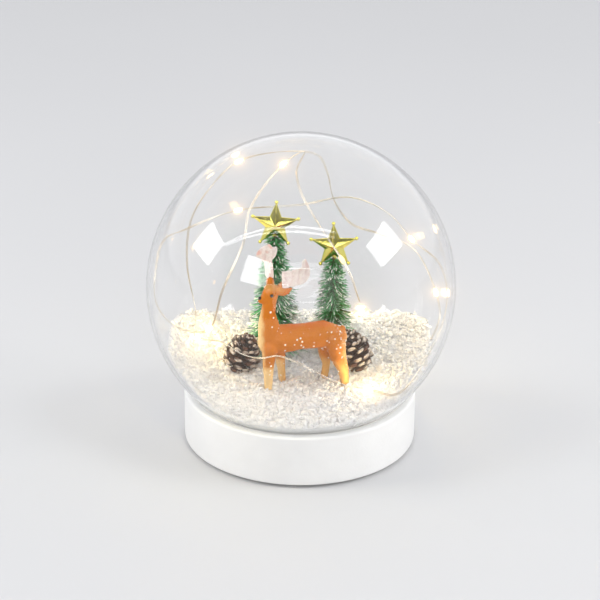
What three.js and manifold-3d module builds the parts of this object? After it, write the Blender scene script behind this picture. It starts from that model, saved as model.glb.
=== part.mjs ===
// Light-up glass globe with a winter scene, on a round base that holds its cells.
// Millimetres, +Z up. The origin is the centre of the foot pad's underside.
import * as THREE from "three";
import * as BufferGeometryUtils from "three/addons/utils/BufferGeometryUtils.js";
import Module from "manifold-3d";

const wasm = await Module();
wasm.setup();

const GAP = 0.3; // clearance kept between neighbouring pieces

// Globe: a blown ball with an open mouth that sits in the base's groove.
const GLOBE_R = 75;
const GLASS_WALL = 2;
const GLOBE_Z = 79.7;
const MOUTH_Z = 21.9;

// Base: a turned disc on a foot pad.
const PAD_H = 1;
const PAD_GAP = 0.02; // the glue line under the base
const PAD_INNER_R = 41;
const PAD_OUTER_R = 54;
const BASE_R = 57;
const BASE_TOP = 26.5;
const BASE_EDGE = 1.4;
const GROOVE_INNER_R = 42;
const GROOVE_OUTER_R = 53.4;
const GROOVE_FLOOR = 21.3;

// Battery box: a tub with a flange, let into the underside.
const FLANGE_Z = 2;
const FLANGE_H = 2;
const FLANGE_HALF_X = 35;
const FLANGE_HALF_Y = 25.5;
const FLANGE_CORNER_R = 14;
const BOX_Y = 1.1;
const TUB_HALF_X = 27;
const TUB_HALF_Y = 22.9;
const TUB_TOP = 16.6;
const TUB_WALL = 1.4;
const BAY_HALF_Y = 16.8;
const BAY_Y = -3.6;
const CELL_R = 5.25;
const CELL_L = 44.5;
const CELL_PITCH = 11.2;
const CELL_Z = 9.4;
const SCREW_X = 31;
const SCREW_Y = 11;
const SCREW_HOLE_R = 1.5;
const SCREW_SINK_R = 2.7;
const SCREW_HEAD_R = 2.4;
const SCREW_SHANK_R = 1.2;
const SCREW_TIP_Z = 13;
const SCREW_SLOT = 0.6;
const PILOT_TOP = 13.5;
const LEAD_Z = 10.8;
const LEAD_R = 0.8;
const LEAD_SLOT = 8;
const DOOR_H = 1.5;
const DOOR_CUT = 0.9;
const NOTCH_R = 5;
const GRIP_L = 12;
const GRIP_PITCH = 2.2;
const HINGE_X = -24.1;
const PIN_R = 0.7;
const SWITCH_Y = 19;
const SWITCH_STRIP = 7.4;
const SWITCH_TRAVEL = 2;
const SWITCH_HALF_X = 4.5;
const SWITCH_HALF_Y = 2.5;
const SWITCH_H = 4.6;
const STEM_X = 1.8;
const STEM_Y = 1.5;
const STEM_LOW = 1.3;
const PLATE_THICK = 0.4;
const PLATE_SIDE = 8;
const SPRING_L = 4;
const SPRING_TURNS = 3.2;
const SPRING_WIDE_R = 3.4;
const SPRING_NARROW_R = 2;
const SPRING_WIRE_R = 0.32;

// Where the fairy-light wire leaves the base, and the wire itself.
const HOLE_X = 20;
const HOLE_Y = 30;
const HOLE_R = 2.4;
const HOLE_IN_FLOOR_R = 1.6;
const WIRE_R = 0.5;
const WIRE_FROM_CENTRE = 71;
const BEAD_R = 1.4;
const BEAD_BORE = 0.85;
const BEAD_L = 5.5;

// Scene inside the globe.
const FLOOR_R = 41.3;
const FLOOR_BOTTOM = 26.8;
const FLOOR_TOP = 28.3;
const SNOW_FROM_CENTRE = 68.5;
const SNOW_BOTTOM = FLOOR_TOP + GAP;
const SNOW_LEVEL = 32;
const SNOW_BACK = 9.5;
const SNOW_SIDES = 16;
const HEAP_Y = 46;
const HEAP_SPREAD = 26;
const SLOPE_FROM_X = 22;
const SLOPE_WIDE = 42;
const SLOPE_FRONT_Y = -48;
const SLOPE_DEEP = 40;
const DEER = { x: 3, y: -9, z: 29.2, heading: 190 };
const LEG_HOLE_R = 3.2;
const ANTLER_THICK = 1.4;
const TREES = [
  { side: "left", x: -13, y: 20, foot: 44, top: 96, footR: 12.5, topR: 4.5, starZ: 103.7 },
  { side: "right", x: 16, y: 22, foot: 46, top: 82, footR: 9.6, topR: 4.6, starZ: 92 },
];
const STEM_R = 0.8;
const STAR_R = 11.9;
const STAR_WAIST_R = 5;
const STAR_THICK = 2.9;
const STAR_BALL_R = 0.95;
const CONES = [
  { side: "left", x: -29, y: 6, z: 39.2, r: 8.8, length: 21.5, yaw: 70, pitch: 70 },
  { side: "right", x: 26.2, y: 6, z: 41.6, r: 8.8, length: 23, yaw: -70, pitch: 70 },
];

// Fairy-light route. A pair is a place on the glass, as longitude and latitude in degrees
// about the globe's centre. A triple is a place off the glass. "led" marks a bead.
const ROUTE = [
  [HOLE_X, HOLE_Y, 24.5],
  [HOLE_X, HOLE_Y + 1, 34],
  [24, 41, 40],
  ["led", 60, -30],
  [40, -33],
  [16, -35],
  [3, -27],
  [3, -15],
  ["led", 16, -9],
  [37, 2],
  [57, 3],
  [69, 5],
  [76, 15],
  [78, 31],
  [82, 45],
  [98, 48],
  ["led", 129, 45],
  [138, 30],
  [144, 15],
  [145, -5],
  [146, -24],
  ["led", -51, 14, 45.5],
  [-38, -3, 50.5],
  [-29, -9, 47.5],
  [-18.5, -20, 50.5],
  [-10.5, -22.5, 53],
  [0, -23, 49],
  [10, -22.5, 43],
  [22, -22, 37.5],
  ["led", 33, -21.5, 35.2],
  [-39, -32],
  [-26, -14],
  [-6, -3],
  [14, 4],
  ["led", 38, 6],
  [50, 14],
  [68, 18],
  [91, 12],
  ["led", 118, 12],
  [146, 11],
  [175, 15],
  [-177, 3],
  [-163, -1],
  [-143, -2],
  ["led", -126, 3],
  [-122, 19],
  [-118, 38],
  [-122, 51],
  ["led", -119, 75],
  [-80, 86],
  [-97, 72],
  [-90, 60],
  [-80, 46],
  ["led", -72, 33],
  [-69, 26],
  [-68, 21],
  [-67, 17],
];

const degrees = (angle) => (angle * Math.PI) / 180;

// --- solids ---------------------------------------------------------------------------

function toManifold(geometry) {
  const bare = geometry.clone();
  bare.deleteAttribute("normal");
  bare.deleteAttribute("uv");
  const merged = BufferGeometryUtils.mergeVertices(bare, 1e-4);
  const vertProperties = new Float32Array(merged.attributes.position.array);
  const triVerts = new Uint32Array(merged.index.array);
  return new wasm.Manifold(new wasm.Mesh({ numProp: 3, vertProperties, triVerts }));
}

function toGeometry(solid) {
  const mesh = solid.getMesh();
  const geometry = new THREE.BufferGeometry();
  geometry.setAttribute("position", new THREE.BufferAttribute(mesh.vertProperties.slice(), 3));
  geometry.setIndex(new THREE.BufferAttribute(mesh.triVerts.slice(), 1));
  geometry.computeVertexNormals();
  return geometry;
}

function joined(geometries) {
  return toGeometry(geometries.map(toManifold).reduce((sum, next) => sum.add(next)));
}

function cut(geometry, tools) {
  const solid = toManifold(geometry);
  return toGeometry(tools.map(toManifold).reduce((left, tool) => left.subtract(tool), solid));
}

// A box from its middle and its three sizes.
function block(x, y, z, sizeX, sizeY, sizeZ) {
  return new THREE.BoxGeometry(sizeX, sizeY, sizeZ).translate(x, y, z);
}

// A box from its limits along X, Y and Z.
function blockBetween(x0, x1, y0, y1, z0, z1) {
  return block((x0 + x1) / 2, (y0 + y1) / 2, (z0 + z1) / 2, x1 - x0, y1 - y0, z1 - z0);
}

// An upright cylinder from its axis, radius and two heights.
function post(x, y, low, high, radius, sides = 16) {
  const geometry = new THREE.CylinderGeometry(radius, radius, high - low, sides);
  return geometry.rotateX(Math.PI / 2).translate(x, y, (low + high) / 2);
}

// A turned solid about Z from its [radius, height] outline.
function turned(outline, sides) {
  const points = outline.map(([radius, height]) => new THREE.Vector2(radius, height));
  return new THREE.LatheGeometry(points, sides).rotateX(Math.PI / 2);
}

// A closed solid about Z from a function that gives its [radius, height] outline at each angle.
// The outline starts on the axis at the bottom and ends on the axis at the top.
function ringedSolid(outlineAt, sides) {
  const outlines = [...Array(sides).keys()].map((i) => outlineAt((i / sides) * 2 * Math.PI));
  const rings = outlines[0].length;
  const positions = [0, 0, outlines[0][0][1]];
  const index = [];
  const vertex = (side, ring) => 1 + (side % sides) * (rings - 2) + ring - 1;
  outlines.forEach((outline, side) => {
    const angle = (side / sides) * 2 * Math.PI;
    outline.slice(1, -1).forEach(([radius, height]) => {
      positions.push(radius * Math.cos(angle), radius * Math.sin(angle), height);
    });
  });
  const top = positions.length / 3;
  positions.push(0, 0, outlines[0][rings - 1][1]);
  for (let side = 0; side < sides; side += 1) {
    index.push(0, vertex(side + 1, 1), vertex(side, 1));
    for (let ring = 1; ring < rings - 2; ring += 1) {
      const [a, b] = [vertex(side, ring), vertex(side + 1, ring)];
      const [c, d] = [vertex(side + 1, ring + 1), vertex(side, ring + 1)];
      index.push(a, b, c, a, c, d);
    }
    index.push(vertex(side, rings - 2), vertex(side + 1, rings - 2), top);
  }
  const geometry = new THREE.BufferGeometry();
  geometry.setAttribute("position", new THREE.Float32BufferAttribute(positions, 3));
  geometry.setIndex(index);
  geometry.computeVertexNormals();
  return geometry;
}

// A straight-sided path through given points, so that a tube gets one ring at each point.
class PointPath extends THREE.Curve {
  constructor(points) {
    super();
    this.points = points;
  }

  getPoint(t, target = new THREE.Vector3()) {
    const place = t * (this.points.length - 1);
    const before = Math.min(Math.floor(place + 1e-6), this.points.length - 2);
    return target.lerpVectors(this.points[before], this.points[before + 1], place - before);
  }

  getPointAt(u, target) {
    return this.getPoint(u, target);
  }

  getTangentAt(u, target = new THREE.Vector3()) {
    const step = 0.5 / (this.points.length - 1);
    const ahead = this.getPoint(Math.min(u + step, 1));
    return target.copy(ahead).sub(this.getPoint(Math.max(u - step, 0))).normalize();
  }
}

// A round tube with closed ends along a list of points.
function tube(points, radius, sides) {
  const section = new THREE.Shape();
  for (let i = 0; i < sides; i += 1) {
    const angle = (i / sides) * 2 * Math.PI;
    section[i ? "lineTo" : "moveTo"](radius * Math.cos(angle), radius * Math.sin(angle));
  }
  const options = { steps: points.length - 1, extrudePath: new PointPath(points), bevelEnabled: false };
  return new THREE.ExtrudeGeometry(section, options);
}

// A limb with round ends through [x, y, z, radius] rows that lie roughly in an XZ plane.
function limb(rows, sides = 8) {
  const centres = rows.map(([x, y, z]) => new THREE.Vector3(x, y, z));
  const sideways = new THREE.Vector3(0, 1, 0);
  const positions = [];
  const index = [];
  const addRing = (centre, ahead, radius) => {
    const across = sideways.clone().addScaledVector(ahead, -sideways.dot(ahead)).normalize();
    const up = new THREE.Vector3().crossVectors(ahead, across);
    for (let i = 0; i < sides; i += 1) {
      const angle = (i / sides) * 2 * Math.PI;
      const spoke = across.clone().multiplyScalar(radius * Math.cos(angle));
      positions.push(...spoke.addScaledVector(up, radius * Math.sin(angle)).add(centre));
    }
  };
  const last = rows.length - 1;
  const aheadAt = (i) => {
    return centres[Math.min(i + 1, last)].clone().sub(centres[Math.max(i - 1, 0)]).normalize();
  };
  const [start, end] = [aheadAt(0), aheadAt(last)];
  const [startR, endR] = [rows[0][3], rows[last][3]];
  addRing(centres[0].clone().addScaledVector(start, -0.7 * startR), start, 0.7 * startR);
  rows.forEach((row, i) => addRing(centres[i], aheadAt(i), row[3]));
  addRing(centres[last].clone().addScaledVector(end, 0.7 * endR), end, 0.7 * endR);
  const rings = rows.length + 2;
  const tips = [rings * sides, rings * sides + 1];
  positions.push(...centres[0].clone().addScaledVector(start, -startR));
  positions.push(...centres[last].clone().addScaledVector(end, endR));
  for (let i = 0; i < sides; i += 1) {
    const next = (i + 1) % sides;
    for (let ring = 0; ring < rings - 1; ring += 1) {
      const [a, b] = [ring * sides + i, ring * sides + next];
      index.push(a, b, b + sides, a, b + sides, a + sides);
    }
    index.push(tips[0], next, i, tips[1], (rings - 1) * sides + i, (rings - 1) * sides + next);
  }
  const geometry = new THREE.BufferGeometry();
  geometry.setAttribute("position", new THREE.Float32BufferAttribute(positions, 3));
  geometry.setIndex(index);
  return geometry;
}

function roundedPlate(halfX, halfY, corner, low, high) {
  const shape = new THREE.Shape();
  [[1, 1, 0], [-1, 1, 90], [-1, -1, 180], [1, -1, 270]].forEach(([sx, sy, start]) => {
    const [x, y] = [sx * (halfX - corner), BOX_Y + sy * (halfY - corner)];
    shape.absarc(x, y, corner, degrees(start), degrees(start + 90));
  });
  const options = { depth: high - low, bevelEnabled: false, curveSegments: 6 };
  return new THREE.ExtrudeGeometry(shape, options).translate(0, 0, low);
}

// --- base and glass -------------------------------------------------------------------

function footPad() {
  const top = PAD_H - PAD_GAP;
  const [inner, outer] = [PAD_INNER_R, PAD_OUTER_R];
  return turned([[inner, 0], [outer, 0], [outer, top], [inner, top], [inner, 0]], 48);
}

function baseBody() {
  const outline = [
    [0, PAD_H],
    [BASE_R - BASE_EDGE, PAD_H],
    [BASE_R - 0.4, PAD_H + 0.4],
    [BASE_R, PAD_H + BASE_EDGE],
    [BASE_R, BASE_TOP - BASE_EDGE],
    [BASE_R - 0.4, BASE_TOP - 0.4],
    [BASE_R - BASE_EDGE, BASE_TOP],
    [GROOVE_OUTER_R, BASE_TOP],
    [GROOVE_OUTER_R, GROOVE_FLOOR],
    [GROOVE_INNER_R, GROOVE_FLOOR],
    [GROOVE_INNER_R, BASE_TOP],
    [0, BASE_TOP],
  ];
  const [halfX, halfY] = [FLANGE_HALF_X + GAP, FLANGE_HALF_Y + GAP];
  const recess = roundedPlate(halfX, halfY, FLANGE_CORNER_R, 0, FLANGE_Z + FLANGE_H + GAP);
  const tubHole = blockBetween(-TUB_HALF_X - GAP, TUB_HALF_X + GAP, BOX_Y - TUB_HALF_Y - GAP,
    BOX_Y + TUB_HALF_Y + GAP, 0, TUB_TOP + GAP);
  const wireBore = post(HOLE_X, HOLE_Y, LEAD_Z - HOLE_R, BASE_TOP + 1, HOLE_R);
  const leadSlot = block(HOLE_X, HOLE_Y - LEAD_SLOT / 2, LEAD_Z, 2 * HOLE_R, LEAD_SLOT, 2 * HOLE_R);
  const pilots = screwPlaces().map(([x, y]) => post(x, y, FLANGE_Z, PILOT_TOP, SCREW_HOLE_R, 12));
  return cut(turned(outline, 56), [recess, tubHole, wireBore, leadSlot, ...pilots]);
}

function sphereOutline(radius, lowZ, steps) {
  const last = Math.acos((lowZ - GLOBE_Z) / radius);
  return [...Array(steps + 1).keys()].map((i) => {
    const polar = (last * i) / steps;
    return [radius * Math.sin(polar), GLOBE_Z + radius * Math.cos(polar)];
  });
}

function glassGlobe() {
  const outer = sphereOutline(GLOBE_R, MOUTH_Z, 17);
  const inner = sphereOutline(GLOBE_R - GLASS_WALL, MOUTH_Z, 17);
  outer[0][0] = 0;
  inner[0][0] = 0;
  return turned([...inner, ...outer.reverse()], 40);
}

function siliconeSeal() {
  const clear = (z) => Math.sqrt(GLOBE_R ** 2 - (GLOBE_Z - z) ** 2) + GAP;
  const [low, high] = [GROOVE_FLOOR + GAP, BASE_TOP - 0.8];
  const outerR = GROOVE_OUTER_R - GAP;
  return turned([[clear(low), low], [outerR, low], [outerR, high], [clear(high), high],
    [clear((low + high) / 2), (low + high) / 2], [clear(low), low]], 40);
}

function sceneFloor() {
  const disc = turned([[0, FLOOR_BOTTOM], [FLOOR_R, FLOOR_BOTTOM], [FLOOR_R, FLOOR_TOP], [0, FLOOR_TOP]], 40);
  return cut(disc, [post(HOLE_X, HOLE_Y, FLOOR_BOTTOM - 1, FLOOR_TOP + 1, HOLE_IN_FLOOR_R)]);
}

// --- battery box ----------------------------------------------------------------------

function screwPlaces() {
  return [[-1, -1], [1, -1], [-1, 1], [1, 1]].map(([sx, sy]) => [sx * SCREW_X, BOX_Y + sy * SCREW_Y]);
}

const BAY_HALF_X = TUB_HALF_X - TUB_WALL;
const BAY_TOP = TUB_TOP - TUB_WALL;
const DOOR_TOP = FLANGE_Z + DOOR_H;
const SWITCH_Z = FLANGE_Z + FLANGE_H + GAP;

function batteryBox() {
  const flangeTop = FLANGE_Z + FLANGE_H;
  const flange = roundedPlate(FLANGE_HALF_X, FLANGE_HALF_Y, FLANGE_CORNER_R, FLANGE_Z, flangeTop);
  const tub = blockBetween(-TUB_HALF_X, TUB_HALF_X, BOX_Y - TUB_HALF_Y, BOX_Y + TUB_HALF_Y,
    flangeTop - 1, TUB_TOP);
  const bay = blockBetween(-BAY_HALF_X, BAY_HALF_X, BAY_Y - BAY_HALF_Y, BAY_Y + BAY_HALF_Y, 0, BAY_TOP);
  const strip = blockBetween(-BAY_HALF_X, BAY_HALF_X, SWITCH_Y - SWITCH_STRIP / 2,
    SWITCH_Y + SWITCH_STRIP / 2, flangeTop, BAY_TOP);
  const window = block(0, SWITCH_Y, FLANGE_Z, STEM_X + SWITCH_TRAVEL + 4 * GAP, STEM_Y + 3 * GAP,
    2 * FLANGE_H + 1);
  const leadHole = block(HOLE_X, BOX_Y + TUB_HALF_Y, LEAD_Z, 3, 4, 3);
  const pivots = [-1, 1].map((side) => {
    const y = BAY_Y + side * BAY_HALF_Y;
    return block(HINGE_X, y, FLANGE_Z + 0.6, 2.3, 2.6, 3.1);
  });
  const screwHoles = screwPlaces().flatMap(([x, y]) => [
    post(x, y, 0, flangeTop + 1, SCREW_HOLE_R, 12),
    post(x, y, 0, FLANGE_Z + 0.9, SCREW_SINK_R, 12),
  ]);
  return cut(joined([flange, tub]), [bay, strip, window, leadHole, ...pivots, ...screwHoles]);
}

// The door turns on two short pins at one end, and has a thumb notch at the other.
function batteryDoor() {
  const [low, high] = [-BAY_HALF_X + GAP, BAY_HALF_X - GAP];
  const halfY = BAY_HALF_Y - GAP;
  const panel = blockBetween(low, high, BAY_Y - halfY, BAY_Y + halfY, FLANGE_Z, DOOR_TOP);
  const pin = new THREE.CylinderGeometry(PIN_R, PIN_R, 2 * (BAY_HALF_Y + 0.9), 10);
  pin.translate(HINGE_X, BAY_Y, (FLANGE_Z + DOOR_TOP) / 2);
  const notch = post(high, BAY_Y, 0, FLANGE_Z + DOOR_CUT, NOTCH_R, 16);
  const grips = [1, 2, 3].map((i) => {
    return block(high - NOTCH_R - GRIP_PITCH * i, BAY_Y, FLANGE_Z, DOOR_CUT, GRIP_L, DOOR_CUT);
  });
  return cut(joined([panel, pin]), [notch, ...grips]);
}

// A screw points up from its head, which has a crossed slot.
function screw() {
  const head = FLANGE_Z + 0.6;
  const face = FLANGE_Z - 0.6;
  const outline = [
    [0, face],
    [SCREW_HEAD_R - 0.7, face],
    [SCREW_HEAD_R, face + 0.7],
    [SCREW_HEAD_R, head],
    [SCREW_SHANK_R, head],
    [SCREW_SHANK_R, SCREW_TIP_Z - 1.5],
    [0, SCREW_TIP_Z],
  ];
  const [long, deep] = [5 * SCREW_SLOT, 2 * SCREW_SLOT];
  const slots = [block(0, 0, face, long, SCREW_SLOT, deep), block(0, 0, face, SCREW_SLOT, long, deep)];
  return cut(turned(outline, 12), slots);
}

// A cell lies along X about its own middle, with its positive nub towards +X.
function cell() {
  const half = CELL_L / 2;
  const outline = [
    [0, -half],
    [CELL_R - 0.5, -half],
    [CELL_R, -half + 0.5],
    [CELL_R, half - 1.5],
    [CELL_R - 0.6, half - 1],
    [1.9, half - 1],
    [1.9, half],
    [0, half],
  ];
  return turned(outline, 18).rotateY(Math.PI / 2);
}

const PLATE_X = BAY_HALF_X - GAP - PLATE_THICK / 2;

// A conical spring lies along X from its wide end at the plate.
function contactSpring() {
  const steps = 30;
  const points = [...Array(steps + 1).keys()].map((i) => {
    const angle = (i / steps) * SPRING_TURNS * 2 * Math.PI;
    const radius = SPRING_WIDE_R + ((SPRING_NARROW_R - SPRING_WIDE_R) * i) / steps;
    const [y, z] = [radius * Math.cos(angle), radius * Math.sin(angle)];
    return new THREE.Vector3((SPRING_L * i) / steps, y, z);
  });
  return tube(points, SPRING_WIRE_R, 6);
}

function contactPlate(wide) {
  return block(0, 0, 0, PLATE_THICK, wide, PLATE_SIDE);
}

function switchBody() {
  const shell = blockBetween(-SWITCH_HALF_X, SWITCH_HALF_X, -SWITCH_HALF_Y, SWITCH_HALF_Y, 0, SWITCH_H);
  const slot = blockBetween(-STEM_X / 2 - SWITCH_TRAVEL / 2 - GAP, STEM_X / 2 + SWITCH_TRAVEL / 2 + GAP,
    -STEM_Y / 2 - GAP, STEM_Y / 2 + GAP, -1, 4);
  return cut(shell, [slot]);
}

// The stem reaches from the switch, through the window in the flange, to just above the foot.
function switchSlider() {
  const stem = blockBetween(-STEM_X / 2, STEM_X / 2, -STEM_Y / 2, STEM_Y / 2, STEM_LOW, SWITCH_Z + 3.4);
  return cut(stem, [block(0, 0, STEM_LOW, 0.5, 3, 0.6)]);
}

function leadWires() {
  const points = [
    [HOLE_X - 4, SWITCH_Y, 0],
    [HOLE_X, SWITCH_Y + 2, 0],
    [HOLE_X, HOLE_Y - 2, 0],
    [HOLE_X, HOLE_Y - 0.5, 1.2],
    [HOLE_X, HOLE_Y, 3.5],
    [HOLE_X, HOLE_Y, 12.9],
  ];
  return tube(points.map(([x, y, up]) => new THREE.Vector3(x, y, LEAD_Z + up)), LEAD_R, 8);
}

// --- scene ----------------------------------------------------------------------------

// Height of the snow above the floor of the globe: low in front, heaped at the sides and back.
function snowHeight(x, y) {
  const back = Math.exp(-(((y - HEAP_Y) / HEAP_SPREAD) ** 2));
  const sides = Math.min(Math.max((Math.abs(x) - SLOPE_FROM_X) / SLOPE_WIDE, 0), 1) ** 2.5;
  const ripples = 0.5 * Math.sin(0.31 * x + 1) * Math.cos(0.27 * y);
  const towardsBack = Math.min(Math.max((y - SLOPE_FRONT_Y) / SLOPE_DEEP, 0.1), 1);
  return SNOW_LEVEL + SNOW_BACK * back + SNOW_SIDES * sides * towardsBack + ripples;
}

function snowBed(tools) {
  const steps = 7;
  const outlineAt = (angle) => {
    const [cos, sin] = [Math.cos(angle), Math.sin(angle)];
    const wallR = (z) => Math.sqrt(SNOW_FROM_CENTRE ** 2 - (GLOBE_Z - z) ** 2);
    let edge = 50;
    for (let i = 0; i < 8; i += 1) {
      edge = wallR(snowHeight(edge * cos, edge * sin));
    }
    const edgeZ = snowHeight(edge * cos, edge * sin);
    const middleZ = (SNOW_BOTTOM + edgeZ) / 2;
    const top = [...Array(steps).keys()].map((i) => {
      const radius = (edge * (steps - i)) / steps;
      return [radius, i ? snowHeight(radius * cos, radius * sin) : edgeZ];
    });
    return [[0, SNOW_BOTTOM], [wallR(SNOW_BOTTOM), SNOW_BOTTOM], [wallR(middleZ), middleZ], ...top,
      [0, snowHeight(0, 0)]];
  };
  return cut(ringedSolid(outlineAt, 36), tools);
}

// Deer figure in its own frame: +X ahead, +Y to its left, Z up from the soles.
// Each row is a chain of [x, y, z, radius].
const DEER_BODY = [
  [[18, 0, 26.4, 6.2], [13, 0, 27.6, 7.4], [3, 0, 28.2, 6.5], [-8, 0, 28.8, 6.9], [-14, 0, 27, 6]],
  [[18, 0, 30, 6], [18.9, 0, 36.5, 5], [19.1, 0.2, 42, 3.6], [18.5, 0.4, 47, 3.2], [17.4, 0.5, 52, 3.3]],
  [[17, 0.5, 53.2, 3.5], [19, 0.6, 51.6, 3.5], [20.8, 0.7, 49.7, 2.6], [22.4, 0.8, 48.9, 1.7]],
  [[15.6, 0.5, 55, 1.7], [19.6, 0.6, 55.3, 1.6]],
  [[17.8, -0.8, 55, 2], [17.8, -1.4, 58, 1.9]],
  [[13.6, 2.6, 53.6, 1.3], [13.2, 3, 55.2, 1.2]],
  [[-17.4, 0, 31, 1.7], [-18.8, 0, 26, 1.2]],
];
const DEER_EARS = [
  [[14.8, 2.8, 53, 1.1], [12.6, 3.3, 53.6, 2.1], [10.6, 3.7, 54.4, 1.9], [7.6, 4, 56, 0.5]],
  [[14.8, -1.8, 53, 1.1], [12.6, -2.8, 53.8, 2], [10.6, -3.8, 54.8, 1.8], [8, -4.8, 56.4, 0.5]],
];
const DEER_LEGS = [
  [[18.6, 3.2, 24, 4], [19.2, 3.6, 18, 3], [19.4, 3.6, 11.3, 2.4], [19.2, 3.6, 1.6, 1.9]],
  [[14, -3.2, 24, 3.8], [12.2, -3.6, 15, 2.5], [11.8, -3.6, 10, 2], [11.2, -3.6, 1.6, 1.7]],
  [[-13.5, 3, 26, 5.2], [-15, 3.8, 17.6, 4], [-17.8, 3.8, 10.3, 2.7], [-18.8, 3.8, 1.6, 1.9]],
  [[-9.5, -3, 25, 4.8], [-9.4, -3.7, 17.5, 3], [-10.6, -3.8, 11, 2.1], [-9.6, -3.8, 1.6, 1.7]],
];

function deerBody() {
  return joined([...DEER_BODY, ...DEER_EARS, ...DEER_LEGS].map((rows) => limb(rows)));
}

// Each antler is a flat palm. Its outline starts at the foot, and a row [x, z] is a corner
// while [px, pz, x, z] is a curve to a corner that is pulled towards (px, pz).
const ANTLERS = {
  left: {
    y: 3.5,
    outline: [[13, 57], [13, 65], [8, 64, 3, 66], [3.5, 68, 2.5, 70], [1.5, 71, 1, 69.5], [-3, 62, 3, 58]],
  },
  right: {
    y: -1.5,
    outline: [[16, 60.5], [17, 69], [14.5, 71, 14.5, 75], [17, 75.5], [18, 77.5, 20, 76.5],
      [25, 74, 24.5, 71], [22, 70, 21, 68], [19.5, 60.5]],
  },
};

function antler(side) {
  const { y, outline } = ANTLERS[side];
  const shape = new THREE.Shape();
  shape.moveTo(...outline[0]);
  for (const row of outline.slice(1)) {
    if (row.length === 2) shape.lineTo(...row);
    else shape.quadraticCurveTo(...row);
  }
  const settings = { depth: ANTLER_THICK, bevelEnabled: false, curveSegments: 5 };
  const palm = new THREE.ExtrudeGeometry(shape, settings);
  return palm.rotateX(Math.PI / 2).translate(0, y + ANTLER_THICK / 2, 0);
}

function legHoles() {
  const turn = degrees(DEER.heading);
  return DEER_LEGS.map((leg) => {
    const [x, y] = leg.at(-1);
    const worldX = DEER.x + x * Math.cos(turn) - y * Math.sin(turn);
    const worldY = DEER.y + x * Math.sin(turn) + y * Math.cos(turn);
    return post(worldX, worldY, SNOW_BOTTOM - 1, 50, LEG_HOLE_R, 10);
  });
}

function treeStem({ x, y, starZ }) {
  return post(x, y, FLOOR_TOP + GAP, starZ - STAR_WAIST_R - GAP, STEM_R, 8);
}

// Tiers of bristles round the stem, shrinking towards the top.
function treeBristles({ foot, top, footR, topR }) {
  const tiers = 9;
  const outline = [[STEM_R + GAP, foot]];
  for (let i = 0; i < tiers; i += 1) {
    const low = foot + ((top - foot) * i) / tiers;
    const radius = footR + ((topR - footR) * i) / (tiers - 1);
    outline.push([radius, low + 0.8]);
    outline.push([radius * 0.72, low + (top - foot) / tiers]);
  }
  outline.push([STEM_R + GAP, top]);
  outline.push([STEM_R + GAP, foot]);
  return turned(outline, 14);
}

// A faceted five-point star, upright in the XZ plane, with a small ball on each tip.
function star() {
  const rim = [...Array(10).keys()].map((i) => {
    const angle = degrees(90 + 36 * i);
    const radius = i % 2 ? STAR_WAIST_R : STAR_R;
    return [radius * Math.cos(angle), radius * Math.sin(angle)];
  });
  const positions = [0, -STAR_THICK, 0, 0, STAR_THICK, 0, ...rim.flatMap(([x, z]) => [x, 0, z])];
  const index = rim.flatMap((_, i) => {
    const [here, next] = [2 + i, 2 + ((i + 1) % 10)];
    return [0, here, next, 1, next, here];
  });
  const body = new THREE.BufferGeometry();
  body.setAttribute("position", new THREE.Float32BufferAttribute(positions, 3));
  body.setIndex(index);
  const tips = rim.filter((_, i) => i % 2 === 0).map(([x, z]) => {
    return new THREE.SphereGeometry(STAR_BALL_R, 6, 4).translate(x * 0.98, 0, z * 0.98);
  });
  return joined([body, ...tips]);
}

// A closed pine cone about Z: rows of scales that stand out in a spiral.
function pineCone({ r, length }) {
  const rows = 9;
  const outlineAt = (angle) => {
    const outline = [[0, -length / 2]];
    for (let i = 1; i < rows; i += 1) {
      const along = i / rows;
      const bulge = Math.sin(Math.PI * along ** 0.8);
      const scale = 1 + 0.1 * Math.cos(5 * angle + i * Math.PI);
      outline.push([r * bulge * scale, -length / 2 + length * along]);
    }
    return [...outline, [0, length / 2]];
  };
  return ringedSolid(outlineAt, 20);
}

// --- fairy lights ---------------------------------------------------------------------

function routePoint(stop) {
  const values = stop.filter((value) => value !== "led");
  if (values.length === 3) {
    return new THREE.Vector3(...values);
  }
  const [longitude, latitude] = values.map(degrees);
  const level = WIRE_FROM_CENTRE * Math.cos(latitude);
  return new THREE.Vector3(
    level * Math.cos(longitude),
    level * Math.sin(longitude),
    GLOBE_Z + WIRE_FROM_CENTRE * Math.sin(latitude),
  );
}

const MAX_STEP = 17;
const EXIT_MARKS = [5, 10]; // lengths along the wire, close together where it leaves the floor

// The tube's points: two close to each bead, and even steps in between.
function wireLayout() {
  const curve = new THREE.CatmullRomCurve3(ROUTE.map(routePoint), false, "centripetal");
  curve.arcLengthDivisions = 2000;
  const lengths = curve.getLengths();
  const total = lengths.at(-1);
  const stopLength = (i) => lengths[Math.round((i / (ROUTE.length - 1)) * 2000)];
  const beads = ROUTE.flatMap((stop, i) => (stop[0] === "led" ? [stopLength(i)] : []));
  const half = BEAD_L / 2 + 0.6;
  const marks = [0, ...EXIT_MARKS, ...beads.flatMap((at) => [at - half, at + half]), total];
  const places = marks.slice(1).flatMap((mark, i) => {
    const steps = Math.ceil((mark - marks[i]) / MAX_STEP);
    return [...Array(steps).keys()].map((j) => marks[i] + ((mark - marks[i]) * (j + 1)) / steps);
  });
  const at = (length) => curve.getPointAt(Math.min(length / total, 1));
  return {
    length: total,
    points: [0, ...places].map(at),
    beads: beads.map((place) => [at(place - half), at(place + half)]),
  };
}

function ledBead() {
  const half = BEAD_L / 2;
  const outline = [
    [BEAD_BORE, -half],
    [BEAD_R - 0.2, -half + 0.3],
    [BEAD_R, -half + 1.2],
    [BEAD_R, half - 1.2],
    [BEAD_R - 0.2, half - 0.3],
    [BEAD_BORE, half],
    [BEAD_BORE, -half],
  ];
  return turned(outline, 10);
}

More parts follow.
